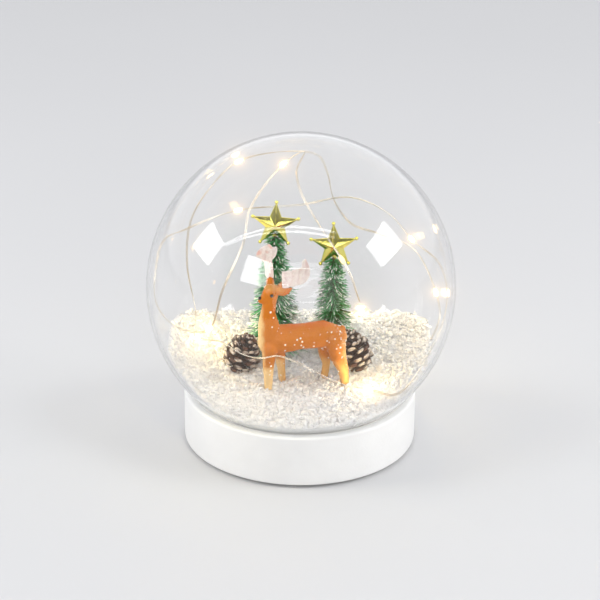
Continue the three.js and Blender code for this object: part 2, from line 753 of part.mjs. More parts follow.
// --- assembly -------------------------------------------------------------------------

const part = new THREE.Group();

function add(name, geometry, look, place = [0, 0, 0], parent = part) {
  const [color, roughness, metalness, opacity = 1] = look;
  const material = new THREE.MeshStandardMaterial({
    color, roughness, metalness, opacity, transparent: opacity < 1,
  });
  const mesh = new THREE.Mesh(geometry, material);
  mesh.name = name;
  mesh.position.set(...place);
  parent.add(mesh);
  return mesh;
}

const WHITE_PAINT = [0xf4f2ee, 0.5, 0];
const WHITE_PLASTIC = [0xe9e8e4, 0.4, 0];
const STEEL = [0xc9cbce, 0.3, 1];
const GOLD = [0xd9bb3c, 0.22, 1];
const GLASS = [0xffffff, 0.02, 0, 0.2];

add("foot_pad", footPad(), [0x3a3a3c, 0.9, 0]);
add("base_body", baseBody(), WHITE_PAINT);
add("glass_globe", glassGlobe(), GLASS);
add("silicone_seal", siliconeSeal(), [0xf2f2f2, 0.3, 0, 0.6]);
add("scene_floor", sceneFloor(), WHITE_PAINT);

add("battery_box", batteryBox(), WHITE_PLASTIC);
add("battery_door", batteryDoor(), WHITE_PLASTIC);
screwPlaces().forEach(([x, y], i) => {
  add(`box_screw_${i + 1}`, screw(), STEEL, [x, y, 0]);
});
[-1, 0, 1].forEach((row, i) => {
  const y = BAY_Y + row * CELL_PITCH;
  const facing = i % 2 ? -1 : 1;
  const turn = facing < 0 ? Math.PI : 0;
  const body = add(`cell_${i + 1}`, cell(), [0x4d6b8f, 0.35, 0.6]);
  body.rotation.z = turn;
  body.position.set(facing * (PLATE_X - GAP - 0.2 - CELL_L / 2), y, CELL_Z);
  const spring = add(`contact_spring_${i + 1}`, contactSpring(), STEEL);
  spring.rotation.z = turn;
  spring.position.set(-facing * (PLATE_X - 0.9), y, CELL_Z);
});
const LINK_WIDE = CELL_PITCH + PLATE_SIDE;
add("series_link_a", contactPlate(LINK_WIDE), STEEL, [PLATE_X, BAY_Y - CELL_PITCH / 2, CELL_Z]);
add("series_link_b", contactPlate(LINK_WIDE), STEEL, [-PLATE_X, BAY_Y + CELL_PITCH / 2, CELL_Z]);
add("end_contact_minus", contactPlate(PLATE_SIDE), STEEL, [-PLATE_X, BAY_Y - CELL_PITCH, CELL_Z]);
add("end_contact_plus", contactPlate(PLATE_SIDE), STEEL, [PLATE_X, BAY_Y + CELL_PITCH, CELL_Z]);
add("switch_body", switchBody(), [0x8d8f92, 0.35, 0.8], [0, SWITCH_Y, SWITCH_Z]);
add("switch_slider", switchSlider(), [0x232325, 0.45, 0], [SWITCH_TRAVEL / 2, SWITCH_Y, 0]);
add("lead_wires", leadWires(), [0xd8d6cf, 0.5, 0]);

const deer = new THREE.Group();
deer.position.set(DEER.x, DEER.y, DEER.z);
deer.rotation.z = degrees(DEER.heading);
part.add(deer);
add("deer_body", deerBody(), [0xd97a1e, 0.35, 0], [0, 0, 0], deer);
add("antler_left", antler("left"), [0xeec9c0, 0.9, 0], [0, 0, 0], deer);
add("antler_right", antler("right"), [0xeec9c0, 0.9, 0], [0, 0, 0], deer);

TREES.forEach((tree) => {
  add(`tree_stem_${tree.side}`, treeStem(tree), [0x3b2c22, 0.6, 0.4]);
  add(`tree_bristles_${tree.side}`, treeBristles(tree), [0x2f8f57, 0.8, 0], [tree.x, tree.y, 0]);
  add(`star_${tree.side}`, star(), GOLD, [tree.x, tree.y, tree.starZ]);
});

const coneTurn = ({ pitch, yaw }) => new THREE.Euler(degrees(90 - pitch), 0, degrees(yaw), "ZXY");
CONES.forEach((cone) => {
  const place = [cone.x, cone.y, cone.z];
  const body = add(`pinecone_${cone.side}`, pineCone(cone), [0x4b2f22, 0.8, 0], place);
  body.rotation.copy(coneTurn(cone));
});

const wire = wireLayout();
add("fairy_wire", tube(wire.points, WIRE_R, 8), [0xcfc3a8, 0.3, 1]);
wire.beads.forEach(([from, to], i) => {
  const name = `led_bead_${String(i + 1).padStart(2, "0")}`;
  const bead = add(name, ledBead(), [0xffe3a1, 0.2, 0, 0.8]);
  bead.position.lerpVectors(from, to, 0.5);
  bead.quaternion.setFromUnitVectors(new THREE.Vector3(0, 0, 1), to.clone().sub(from).normalize());
});

const coneHollows = CONES.map((cone) => {
  const [across, along] = [1.1 * cone.r + 2 * GAP, cone.length / 2 + 3 * GAP];
  const hollow = new THREE.SphereGeometry(1, 16, 12).rotateX(Math.PI / 2).scale(across, across, along);
  const turn = new THREE.Quaternion().setFromEuler(coneTurn(cone));
  return hollow.applyQuaternion(turn).translate(cone.x, cone.y, cone.z);
});
const stemHoles = TREES.map(({ x, y }) => post(x, y, SNOW_BOTTOM - 1, 60, STEM_R + 0.5, 8));
const wireSlot = tube(wire.points, BEAD_R + 3 * GAP, 8);
add("snow_bed", snowBed([...legHoles(), ...stemHoles, ...coneHollows, wireSlot]), [0xf7f7f8, 0.95, 0]);

export default part;
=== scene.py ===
"""Looks of the light-up snow globe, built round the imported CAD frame. Metres, +Z up."""

import math
import random

import bmesh
import bpy
import numpy as np
from mathutils import Matrix, Quaternion, Vector, noise


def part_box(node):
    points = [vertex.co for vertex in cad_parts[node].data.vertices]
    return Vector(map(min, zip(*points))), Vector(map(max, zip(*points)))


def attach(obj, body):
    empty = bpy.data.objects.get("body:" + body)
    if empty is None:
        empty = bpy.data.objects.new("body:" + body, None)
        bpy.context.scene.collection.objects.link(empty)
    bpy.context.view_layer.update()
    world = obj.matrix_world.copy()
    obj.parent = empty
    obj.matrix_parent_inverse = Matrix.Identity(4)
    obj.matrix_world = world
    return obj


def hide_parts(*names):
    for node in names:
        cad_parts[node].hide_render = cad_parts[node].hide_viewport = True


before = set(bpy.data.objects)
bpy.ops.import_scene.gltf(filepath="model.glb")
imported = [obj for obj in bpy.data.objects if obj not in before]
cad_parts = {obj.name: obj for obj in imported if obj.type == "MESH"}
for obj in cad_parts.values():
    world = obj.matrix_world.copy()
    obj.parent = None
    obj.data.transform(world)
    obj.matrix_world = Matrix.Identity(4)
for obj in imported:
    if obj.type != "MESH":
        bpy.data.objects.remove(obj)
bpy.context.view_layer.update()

MM = 0.001
SPIRAL_TURN = 2.39996  # radians between neighbours in a plant-like spiral

# --- places taken from the frame --------------------------------------------------------

globe_low, globe_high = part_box("glass_globe")
GLOBE_R = (globe_high.x - globe_low.x) / 2
GLOBE = Vector((0, 0, globe_high.z - GLOBE_R))
MOUTH_Z = globe_low.z
GLASS_WALL = 2 * MM
INNER_R = GLOBE_R - GLASS_WALL

base_low, base_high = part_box("base_body")
BASE_R = base_high.x
BASE_TOP = base_high.z
FLOOR_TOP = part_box("scene_floor")[1].z

# --- camera -----------------------------------------------------------------------------

CAMERA_DISTANCE = 1.1
CAMERA_PITCH = math.radians(24.09)
CAMERA_ROLL = math.radians(0.65)
CAMERA_LENS = 136.2
AIM_BELOW_CENTRE = 6.64 * MM
AIM_LEFT = 0.44 * MM


def in_scene(name, data):
    """A new object that shows the data."""
    made = bpy.data.objects.new(name, data)
    bpy.context.scene.collection.objects.link(made)
    return made


def make_camera():
    """A camera in front of and above the globe, which looks a little below its centre."""
    data = bpy.data.cameras.new("camera")
    data.lens = CAMERA_LENS
    data.sensor_width = 36
    data.clip_start = 0.05
    camera = in_scene("camera", data)
    ahead = Vector((0, math.cos(CAMERA_PITCH), -math.sin(CAMERA_PITCH)))
    up = Vector((0, math.sin(CAMERA_PITCH), math.cos(CAMERA_PITCH)))
    place = GLOBE - ahead * CAMERA_DISTANCE
    aim = GLOBE - up * AIM_BELOW_CENTRE - Vector((AIM_LEFT, 0, 0))
    look = (aim - place).normalized()
    right = look.cross(up).normalized()
    up = right.cross(look)
    turn = Quaternion(look, -CAMERA_ROLL)
    right, up = turn @ right, turn @ up
    rows = Matrix((right, up, -look)).transposed()
    camera.matrix_world = Matrix.Translation(place) @ rows.to_4x4()
    bpy.context.scene.camera = camera


make_camera()

# --- mesh helpers -----------------------------------------------------------------------


def mesh_object(name, vertices, faces):
    mesh = bpy.data.meshes.new(name)
    mesh.from_pydata([tuple(v) for v in vertices], [], [tuple(f) for f in faces])
    mesh.update()
    mesh.shade_smooth()
    return in_scene(name, mesh)


def edited_object(name, edit):
    """A new object from a bmesh, which is freed."""
    mesh = bpy.data.meshes.new(name)
    edit.to_mesh(mesh)
    edit.free()
    return in_scene(name, mesh)


def grid_faces(rows, columns, closed):
    """Quads of a rows by columns grid of vertices; closed joins the last column to the first."""
    faces = []
    for i in range(rows - 1):
        for j in range(columns if closed else columns - 1):
            k = (j + 1) % columns
            faces.append((i * columns + j, i * columns + k, (i + 1) * columns + k, (i + 1) * columns + j))
    return faces


def turned(name, outline, sides):
    """A solid of revolution from a closed outline of (radius, height), anticlockwise with radius as x."""
    vertices, rings = [], []
    for radius, height in outline:
        if radius < 1e-7:
            rings.append([len(vertices)] * sides)
            vertices.append((0, 0, height))
            continue
        ring = []
        for j in range(sides):
            angle = 2 * math.pi * j / sides
            ring.append(len(vertices))
            vertices.append((radius * math.cos(angle), radius * math.sin(angle), height))
        rings.append(ring)
    faces = []
    pairs = list(zip(rings, rings[1:]))
    if outline[0][0] > 1e-7:
        pairs.append((rings[-1], rings[0]))
    for low, high in pairs:
        for j in range(sides):
            k = (j + 1) % sides
            corners = [low[j], low[k], high[k], high[j]]
            unique = [v for i, v in enumerate(corners) if v not in corners[:i]]
            if len(unique) > 2:
                faces.append(unique)
    return mesh_object(name, vertices, faces)


def sharpen(piece, angle):
    """Smooth shading that breaks at edges sharper than the angle, in degrees."""
    mesh = piece.data
    mesh.shade_smooth()
    edit = bmesh.new()
    edit.from_mesh(mesh)
    for edge in edit.edges:
        if len(edge.link_faces) == 2 and edge.calc_face_angle(0) > math.radians(angle):
            edge.smooth = False
    edit.to_mesh(mesh)
    edit.free()


def soft_edges(piece, width, angle):
    """Bevels every edge sharper than the angle, in degrees."""
    modifier = piece.modifiers.new("round", "BEVEL")
    modifier.width = width
    modifier.segments = 2
    modifier.limit_method = "ANGLE"
    modifier.angle_limit = math.radians(angle)
    apply_modifiers(piece)


def apply_modifiers(piece):
    graph = bpy.context.evaluated_depsgraph_get()
    mesh = bpy.data.meshes.new_from_object(piece.evaluated_get(graph))
    piece.modifiers.clear()
    old = piece.data
    piece.data = mesh
    bpy.data.meshes.remove(old)
    mesh.name = piece.name


def joined(name, pieces):
    """One object from several, keeping each one's geometry."""
    edit = bmesh.new()
    for piece in pieces:
        piece.data.transform(piece.matrix_world)
        edit.from_mesh(piece.data)
        bpy.data.objects.remove(piece)
    return edited_object(name, edit)


def cut(piece, tools):
    """Cuts each tool out of the piece, and removes it."""
    for tool in tools:
        modifier = piece.modifiers.new("cut", "BOOLEAN")
        modifier.operation = "DIFFERENCE"
        modifier.solver = "EXACT"
        modifier.object = tool
        apply_modifiers(piece)
        bpy.data.objects.remove(tool)


def limb(name, rows, sides=20, flat=1.0):
    """A round-ended limb through (x, y, z, radius) rows; flat narrows it across the XZ plane."""
    centres = [Vector(row[:3]) for row in rows]
    last = len(rows) - 1
    rings = []

    def ahead_at(i):
        return (centres[min(i + 1, last)] - centres[max(i - 1, 0)]).normalized()

    start, end = ahead_at(0), ahead_at(last)
    for angle in (80, 55, 30):
        a = math.radians(angle)
        rings.append((centres[0] - start * rows[0][3] * math.sin(a), start, rows[0][3] * math.cos(a)))
    for i, row in enumerate(rows):
        rings.append((centres[i], ahead_at(i), row[3]))
    for angle in (30, 55, 80):
        a = math.radians(angle)
        rings.append((centres[last] + end * rows[last][3] * math.sin(a), end, rows[last][3] * math.cos(a)))
    vertices = []
    for centre, ahead, radius in rings:
        across = (Vector((0, 1, 0)) - ahead * ahead.y).normalized()
        up = ahead.cross(across)
        for j in range(sides):
            angle = 2 * math.pi * j / sides
            sideways = across * (radius * flat * math.cos(angle))
            vertices.append(centre + sideways + up * (radius * math.sin(angle)))
    faces = grid_faces(len(rings), sides, closed=True)
    faces.append(list(range(sides))[::-1])
    faces.append([(len(rings) - 1) * sides + j for j in range(sides)])
    return mesh_object(name, vertices, faces)


def catmull_rom(points, per_span):
    """A centripetal Catmull-Rom line through the points, with per_span steps between each two."""
    points = [Vector(p) for p in points]
    before = points[0] * 2 - points[1]
    after = points[-1] * 2 - points[-2]
    padded = [before, *points, after]
    line = []
    for i in range(len(points) - 1):
        p0, p1, p2, p3 = padded[i : i + 4]
        d0, d1, d2 = [max((b - a).length ** 0.5, 1e-6) for a, b in ((p0, p1), (p1, p2), (p2, p3))]
        t1 = ((p1 - p0) / d0 - (p2 - p0) / (d0 + d1) + (p2 - p1) / d1) * d1
        t2 = ((p2 - p1) / d1 - (p3 - p1) / (d1 + d2) + (p3 - p2) / d2) * d1
        for j in range(per_span):
            t = j / per_span
            line.append(
                p1 * (2 * t**3 - 3 * t**2 + 1)
                + t1 * (t**3 - 2 * t**2 + t)
                + p2 * (3 * t**2 - 2 * t**3)
                + t2 * (t**3 - t**2)
            )
    line.append(points[-1])
    return line


def lengths_along(line):
    """The length along the line at each of its points."""
    total = [0.0]
    for a, b in zip(line, line[1:]):
        total.append(total[-1] + (b - a).length)
    return total


def at_length(line, lengths, wanted):
    """The point at a length along the line, and the direction there."""
    wanted = min(max(wanted, 0), lengths[-1] - 1e-9)
    i = int(np.searchsorted(lengths, wanted, side="right")) - 1
    i = min(i, len(line) - 2)
    share = (wanted - lengths[i]) / max(lengths[i + 1] - lengths[i], 1e-12)
    return line[i].lerp(line[i + 1], share), (line[i + 1] - line[i]).normalized()


def strand_mesh(centres, radius, sides):
    """Vertices and faces of a closed round tube along centres, with frames that don't twist."""
    vertices = []
    ahead = (centres[1] - centres[0]).normalized()
    across = ahead.orthogonal().normalized()
    last = len(centres) - 1
    for i, centre in enumerate(centres):
        ahead = (centres[min(i + 1, last)] - centres[max(i - 1, 0)]).normalized()
        across = (across - ahead * across.dot(ahead)).normalized()
        up = ahead.cross(across)
        for j in range(sides):
            angle = 2 * math.pi * j / sides
            vertices.append(centre + (across * math.cos(angle) + up * math.sin(angle)) * radius)
    faces = grid_faces(len(centres), sides, closed=True)
    faces.append(list(range(sides))[::-1])
    faces.append([last * sides + j for j in range(sides)])
    return vertices, faces


def add_skin(vertices, faces, points, skin):
    """Adds one more closed skin to lists of vertices and faces."""
    faces.extend([[v + len(vertices) for v in face] for face in skin])
    vertices.extend(points)


def merged_copies(name, shapes, places):
    """One mesh from many small copies of shapes, which are (vertices, faces) pairs.

    Each place is a shape's number, a 3x3 array that turns and scales it, and its offset.
    """
    all_vertices, all_faces, count = [], [], 0
    for number, turn, offset in places:
        vertices, faces = shapes[number]
        all_vertices.append(vertices @ turn.T + offset)
        all_faces.append(faces + count)
        count += len(vertices)
    vertices = np.concatenate(all_vertices)
    mesh = bpy.data.meshes.new(name)
    sizes = [f.shape[1] for f in all_faces]
    corners = np.concatenate([f.ravel() for f in all_faces]).astype(np.int32)
    per_face = np.concatenate([np.full(len(f), n) for f, n in zip(all_faces, sizes)])
    mesh.vertices.add(len(vertices))
    mesh.vertices.foreach_set("co", vertices.astype(np.float32).ravel())
    mesh.loops.add(len(corners))
    mesh.loops.foreach_set("vertex_index", corners)
    mesh.polygons.add(len(per_face))
    starts = np.concatenate([[0], np.cumsum(per_face)[:-1]]).astype(np.int32)
    mesh.polygons.foreach_set("loop_start", starts)
    mesh.update(calc_edges=True)
    return in_scene(name, mesh)


def colour_points(piece, colours):
    """A point colour layer named tint."""
    layer = piece.data.color_attributes.new("tint", "FLOAT_COLOR", "POINT")
    values = np.ones((len(piece.data.vertices), 4), np.float32)
    values[:, :3] = colours
    layer.data.foreach_set("color", values.ravel())


def push(piece, shift):
    """Moves every vertex by shift(position, normal), both read before any vertex moves."""
    rest = [(v.co.copy(), v.normal.copy()) for v in piece.data.vertices]
    moved = [co + shift(co, normal) for co, normal in rest]
    piece.data.vertices.foreach_set("co", np.array(moved, np.float32).ravel())
    piece.data.update()


def place_on(piece, body, slot, *nodes):
    """Fixes the piece to a body and hides the CAD nodes that it stands for; the slot is not used."""
    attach(piece, body)
    if nodes:
        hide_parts(*nodes)
    return piece


# --- material helpers -------------------------------------------------------------------


class Material:
    """A node material with a Principled shader and short calls for the nodes that feed it."""

    def __init__(self, name, colour=(0.8, 0.8, 0.8), roughness=0.5, metallic=0.0, **inputs):
        self.material = bpy.data.materials.new(name)
        self.material.use_nodes = True
        self.tree = self.material.node_tree
        self.shader = self.tree.nodes["Principled BSDF"]
        self.output = self.tree.nodes["Material Output"]
        self.set("Base Color", (*colour, 1))
        self.set("Roughness", roughness)
        self.set("Metallic", metallic)
        for key, value in inputs.items():
            self.set(key.replace("_", " "), value)
        self.place = self.node("ShaderNodeTexCoord").outputs["Object"]

    def set(self, socket, value):
        self.shader.inputs[socket].default_value = value

    def node(self, kind, **values):
        made = self.tree.nodes.new(kind)
        for key, value in values.items():
            setattr(made, key, value)
        return made

    def link(self, source, target):
        self.tree.links.new(source, target)

    def feed(self, socket, source):
        """Drives one of the shader's inputs from another node."""
        self.link(source, self.shader.inputs[socket])

    def noise(self, scale, detail=3, roughness=0.5, place=None):
        made = self.node("ShaderNodeTexNoise")
        made.inputs["Scale"].default_value = scale
        made.inputs["Detail"].default_value = detail
        made.inputs["Roughness"].default_value = roughness
        self.link(place or self.place, made.inputs["Vector"])
        return made.outputs["Fac"]

    def cells(self, scale, output="Distance"):
        made = self.node("ShaderNodeTexVoronoi")
        made.inputs["Scale"].default_value = scale
        self.link(self.place, made.inputs["Vector"])
        return made.outputs[output]

    def ramp(self, source, *stops):
        made = self.node("ShaderNodeValToRGB")
        ramp = made.color_ramp
        while len(ramp.elements) < len(stops):
            ramp.elements.new(0.5)
        for element, (position, colour) in zip(ramp.elements, stops):
            element.position = position
            element.color = (*colour, 1) if hasattr(colour, "__len__") else (colour, colour, colour, 1)
        self.link(source, made.inputs["Fac"])
        return made.outputs["Color"]

    def mix(self, factor, first, second):
        made = self.node("ShaderNodeMix", data_type="RGBA")
        for socket, value in ((made.inputs[0], factor), (made.inputs[6], first), (made.inputs[7], second)):
            if isinstance(value, bpy.types.NodeSocket):
                self.link(value, socket)
            elif hasattr(value, "__len__"):
                socket.default_value = (*value, 1)
            else:
                socket.default_value = value
        return made.outputs[2]

    def maths(self, operation, first, second=0.0):
        made = self.node("ShaderNodeMath", operation=operation)
        for socket, value in ((made.inputs[0], first), (made.inputs[1], second)):
            if isinstance(value, bpy.types.NodeSocket):
                self.link(value, socket)
            else:
                socket.default_value = value
        return made.outputs[0]

    def bump(self, height, distance, strength=1.0):
        made = self.node("ShaderNodeBump")
        made.inputs["Distance"].default_value = distance
        made.inputs["Strength"].default_value = strength
        self.link(height, made.inputs["Height"])
        self.feed("Normal", made.outputs["Normal"])

    def tint(self):
        return self.node("ShaderNodeVertexColor", layer_name="tint").outputs["Color"]


def give(piece, material):
    piece.data.materials.clear()
    piece.data.materials.append(material)


def clear_glass():
    look = Material("clear_glass", (0.982, 0.982, 0.98), 0.0, Transmission_Weight=1.0, IOR=1.36)
    smear = look.noise(18, 4, 0.6)
    look.feed("Roughness", look.ramp(smear, (0.45, 0.0), (0.8, 0.03)))
    look.bump(look.noise(9, 2), 0.0003, 0.12)
    path = look.node("ShaderNodeLightPath")
    clear = look.node("ShaderNodeBsdfTransparent")
    clear.inputs["Color"].default_value = (0.97, 0.98, 0.98, 1)
    mixer = look.node("ShaderNodeMixShader")
    soft = look.maths("MAXIMUM", path.outputs["Is Shadow Ray"], path.outputs["Is Diffuse Ray"])
    look.link(soft, mixer.inputs[0])
    look.link(look.shader.outputs[0], mixer.inputs[1])
    look.link(clear.outputs[0], mixer.inputs[2])
    look.link(mixer.outputs[0], look.output.inputs["Surface"])
    return look.material


def white_paint():
    look = Material("white_paint", (0.9, 0.895, 0.88), 0.42)
    mottle = look.noise(60, 4)
    look.feed("Base Color", look.ramp(mottle, (0.3, (0.88, 0.875, 0.86)), (0.7, (0.92, 0.915, 0.9))))
    look.feed("Roughness", look.ramp(look.noise(220, 3), (0.3, 0.36), (0.7, 0.5)))
    fine = look.maths("ADD", look.noise(900, 3), look.maths("MULTIPLY", look.noise(120, 2), 2.0))
    look.bump(fine, 0.00012, 0.5)
    return look.material


def snow_flock():
    look = Material("snow_flock", (0.9, 0.875, 0.87), 0.75, Subsurface_Weight=0.35, Sheen_Weight=0.3)
    look.set("Subsurface Radius", (0.004, 0.0038, 0.0038))
    look.set("Subsurface Scale", 0.35)
    glint = look.ramp(look.cells(1500, "Color"), (0.0, 0.35), (0.5, 0.85))
    look.feed("Roughness", glint)
    look.bump(look.maths("ADD", look.noise(1400, 4, 0.7), look.cells(900)), 0.0004, 0.6)
    return look.material


def fairy_metal():
    look = Material("fairy_copper", (0.8, 0.74, 0.62), 0.24, 1.0)
    tone = look.ramp(look.noise(40, 3), (0.35, (0.82, 0.78, 0.7)), (0.65, (0.72, 0.6, 0.42)))
    look.feed("Base Color", tone)
    look.bump(look.noise(3000, 2), 0.00005, 0.4)
    return look.material


def lit_resin(name, glow):
    look = Material(name, (1.0, 0.85, 0.6), 0.15, Transmission_Weight=0.4, IOR=1.5)
    look.set("Emission Color", (1.0, 0.7, 0.34, 1))
    core = look.ramp(look.noise(700, 2), (0.3, 0.85), (0.7, 1.0))
    look.feed("Emission Strength", look.maths("MULTIPLY", core, glow))
    return look.material


def lit_chip(name, glow):
    look = Material(name, (1.0, 0.9, 0.6), 0.4)
    look.set("Emission Color", (1.0, 0.85, 0.55, 1))
    look.feed("Emission Strength", look.maths("MULTIPLY", look.noise(2000, 1), glow))
    return look.material


def deer_paint():
    look = Material("deer_paint", (0.8, 0.3, 0.03), 0.4, Coat_Weight=0.12, Coat_Roughness=0.1)
    look.set("Specular IOR Level", 0.25)
    look.feed("Base Color", look.tint())
    look.feed("Roughness", look.ramp(look.noise(500, 3), (0.35, 0.32), (0.7, 0.5)))
    strokes = look.maths("ADD", look.noise(260, 4), look.maths("MULTIPLY", look.noise(1200, 2), 0.3))
    look.bump(strokes, 0.0004, 0.5)
    return look.material


def antler_flock():
    look = Material("antler_flock", (0.9, 0.76, 0.73), 0.9, Sheen_Weight=0.6, Subsurface_Weight=0.2)
    look.set("Subsurface Radius", (0.003, 0.0015, 0.0015))
    look.set("Subsurface Scale", 0.5)
    look.feed("Base Color", look.tint())
    look.bump(look.noise(2400, 4, 0.7), 0.0004, 0.9)
    return look.material


def bristle_green():
    look = Material("green_bristle", (0.05, 0.35, 0.18), 0.55)
    look.feed("Base Color", look.tint())
    look.feed("Roughness", look.ramp(look.noise(800, 2), (0.3, 0.45), (0.7, 0.7)))
    return look.material


def stem_wire():
    look = Material("stem_wire", (0.07, 0.045, 0.03), 0.45, 0.6)
    tone = look.ramp(look.noise(600, 3), (0.3, (0.05, 0.03, 0.02)), (0.7, (0.13, 0.09, 0.06)))
    look.feed("Base Color", tone)
    look.bump(look.noise(1500, 2), 0.0001, 0.4)
    return look.material


def gold_plating():
    look = Material("gold_plating", (0.8, 0.73, 0.17), 0.12, 1.0)
    tone = look.ramp(look.noise(90, 3), (0.3, (0.76, 0.69, 0.13)), (0.7, (0.86, 0.8, 0.24)))
    look.feed("Base Color", tone)
    look.feed("Roughness", look.ramp(look.noise(350, 3), (0.3, 0.06), (0.7, 0.18)))
    look.bump(look.noise(420, 3), 0.0002, 0.15)
    return look.material


def cone_wood():
    look = Material("cone_wood", (0.1, 0.05, 0.03), 0.75)
    crust = look.ramp(look.noise(1300, 4, 0.65), (0.5, 0.0), (0.72, 0.8))
    look.feed("Base Color", look.mix(crust, look.tint(), (0.02, 0.009, 0.006)))
    fibres = look.node("ShaderNodeMapping")
    fibres.inputs["Scale"].default_value = (1, 1, 3)
    look.link(look.place, fibres.inputs["Vector"])
    look.bump(look.noise(900, 5, 0.7, fibres.outputs["Vector"]), 0.0003, 0.9)
    return look.material


def moulded(name, colour, grain=1400, roughness=0.45):
    look = Material(name, colour, roughness)
    lighter = tuple(min(c * 1.06 + 0.004, 1) for c in colour)
    look.feed("Base Color", look.ramp(look.noise(50, 3), (0.3, colour), (0.7, lighter)))
    look.feed("Roughness", look.ramp(look.noise(300, 3), (0.3, roughness - 0.07), (0.7, roughness + 0.08)))
    look.bump(look.noise(grain, 2), 0.0001, 0.5)
    return look.material


def plated_steel():
    look = Material("bright_steel", (0.72, 0.72, 0.71), 0.25, 1.0)
    look.feed("Roughness", look.ramp(look.noise(700, 3), (0.3, 0.18), (0.7, 0.38)))
    look.bump(look.noise(2500, 2), 0.00005, 0.5)
    return look.material


def pad_foam():
    look = Material("pad_foam", (0.035, 0.035, 0.038), 0.95)
    tone = look.ramp(look.cells(2200), (0.1, (0.02, 0.02, 0.022)), (0.6, (0.06, 0.06, 0.063)))
    look.feed("Base Color", tone)
    look.bump(look.cells(2200), 0.0003, 0.9)
    return look.material


def silicone():
    look = Material("clear_silicone", (0.9, 0.88, 0.84), 0.35, Transmission_Weight=0.12, IOR=1.41)
    look.bump(look.noise(300, 3), 0.0002, 0.5)
    return look.material


def cell_wrap():
    look = Material("cell_wrap", (0.05, 0.12, 0.22), 0.3, 0.4)
    look.feed("Base Color", look.ramp(look.noise(80, 2), (0.4, (0.04, 0.1, 0.2)), (0.6, (0.06, 0.14, 0.25))))
    look.bump(look.noise(1500, 2), 0.00004, 0.4)
    return look.material


# --- fairy lights -----------------------------------------------------------------------

WIRE_FROM_CENTRE = 71 * MM
HOLE = (20 * MM, 30 * MM)

# A pair is a place on the glass, as longitude and latitude in degrees about the globe's
# centre. A triple is a place off the glass, in millimetres. "led" marks a bead, and each starts a line.
ROUTE = [
    (20, 30, 24.5), (20, 31, 34), (24, 41, 40),
    ("led", 60, -30), (40, -33), (16, -35), (3, -27), (3, -15),
    ("led", 16, -9), (37, 2), (57, 3), (69, 5), (76, 15), (78, 31), (82, 45), (98, 48),
    ("led", 129, 45), (138, 30), (144, 15), (145, -5), (146, -24),
    ("led", -51, 14, 45.5), (-38, -3, 50.5), (-29, -9, 47.5), (-18.5, -20, 50.5), (-10.5, -22.5, 53),
    (0, -23, 49), (10, -22.5, 43), (22, -22, 37.5),
    ("led", 33, -21.5, 35.2), (-39, -32), (-26, -14), (-6, -3), (14, 4),
    ("led", 38, 6), (50, 14), (68, 18), (91, 12),
    ("led", 118, 12), (146, 11), (175, 15), (-177, 3), (-163, -1), (-143, -2),
    ("led", -126, 3), (-122, 19), (-118, 38), (-122, 51),
    ("led", -119, 75), (-80, 86), (-97, 72), (-90, 60), (-80, 46),
    ("led", -72, 33), (-69, 26), (-68, 21), (-67, 17),
]
SPAN_STEPS = 40
STRAND_R = 0.19 * MM
STRAND_FROM_MIDDLE = 0.31 * MM
STRAND_STEP = 0.9 * MM


def route_point(stop):
    values = [v for v in stop if v != "led"]
    if len(values) == 3:
        return Vector(values) * MM
    longitude, latitude = (math.radians(v) for v in values)
    level, height = WIRE_FROM_CENTRE * math.cos(latitude), WIRE_FROM_CENTRE * math.sin(latitude)
    return GLOBE + Vector((level * math.cos(longitude), level * math.sin(longitude), height))


ROUTE_LINE = catmull_rom([route_point(stop) for stop in ROUTE], SPAN_STEPS)
ROUTE_LENGTHS = lengths_along(ROUTE_LINE)
BEAD_LENGTHS = [ROUTE_LENGTHS[i * SPAN_STEPS] for i, stop in enumerate(ROUTE) if stop[0] == "led"]


def fairy_wire(material):
    """Two fine lacquered strands side by side, turning slowly round each other."""
    total = ROUTE_LENGTHS[-1]
    count = int(total / STRAND_STEP)
    centres, frames = [], []
    across = Vector((0, 0, 1))
    for i in range(count + 1):
        centre, ahead = at_length(ROUTE_LINE, ROUTE_LENGTHS, total * i / count)
        across = (across - ahead * across.dot(ahead)).normalized()
        centres.append(centre)
        frames.append((across.copy(), ahead.cross(across)))
    vertices, faces = [], []
    for side in (1, -1):
        line = []
        for i, (centre, (across, up)) in enumerate(zip(centres, frames)):
            turn = i * 0.045 + 1.3 * math.sin(i * 0.021)
            reach = across * math.cos(turn) + up * math.sin(turn)
            line.append(centre + reach * side * STRAND_FROM_MIDDLE)
        add_skin(vertices, faces, *strand_mesh(line, STRAND_R, 6))
    piece = mesh_object("fairy_wire_strands", vertices, faces)
    give(piece, material)
    place_on(piece, "globe", "fairy_copper", "fairy_wire")
    return piece, centres


# Beads by number, from the lead's end. The rest burn at the usual strength.
BULB_WATTS = {1: 0.03, 4: 0.05, 5: 0.014, 8: 0.03, 10: 0.001}
USUAL_WATTS = 0.012
DIM_BULB = 10
BEAD_HALF_L, BEAD_R = 2.5 * MM, 1.1 * MM
BULB_COLOUR = (1.0, 0.8, 0.38)


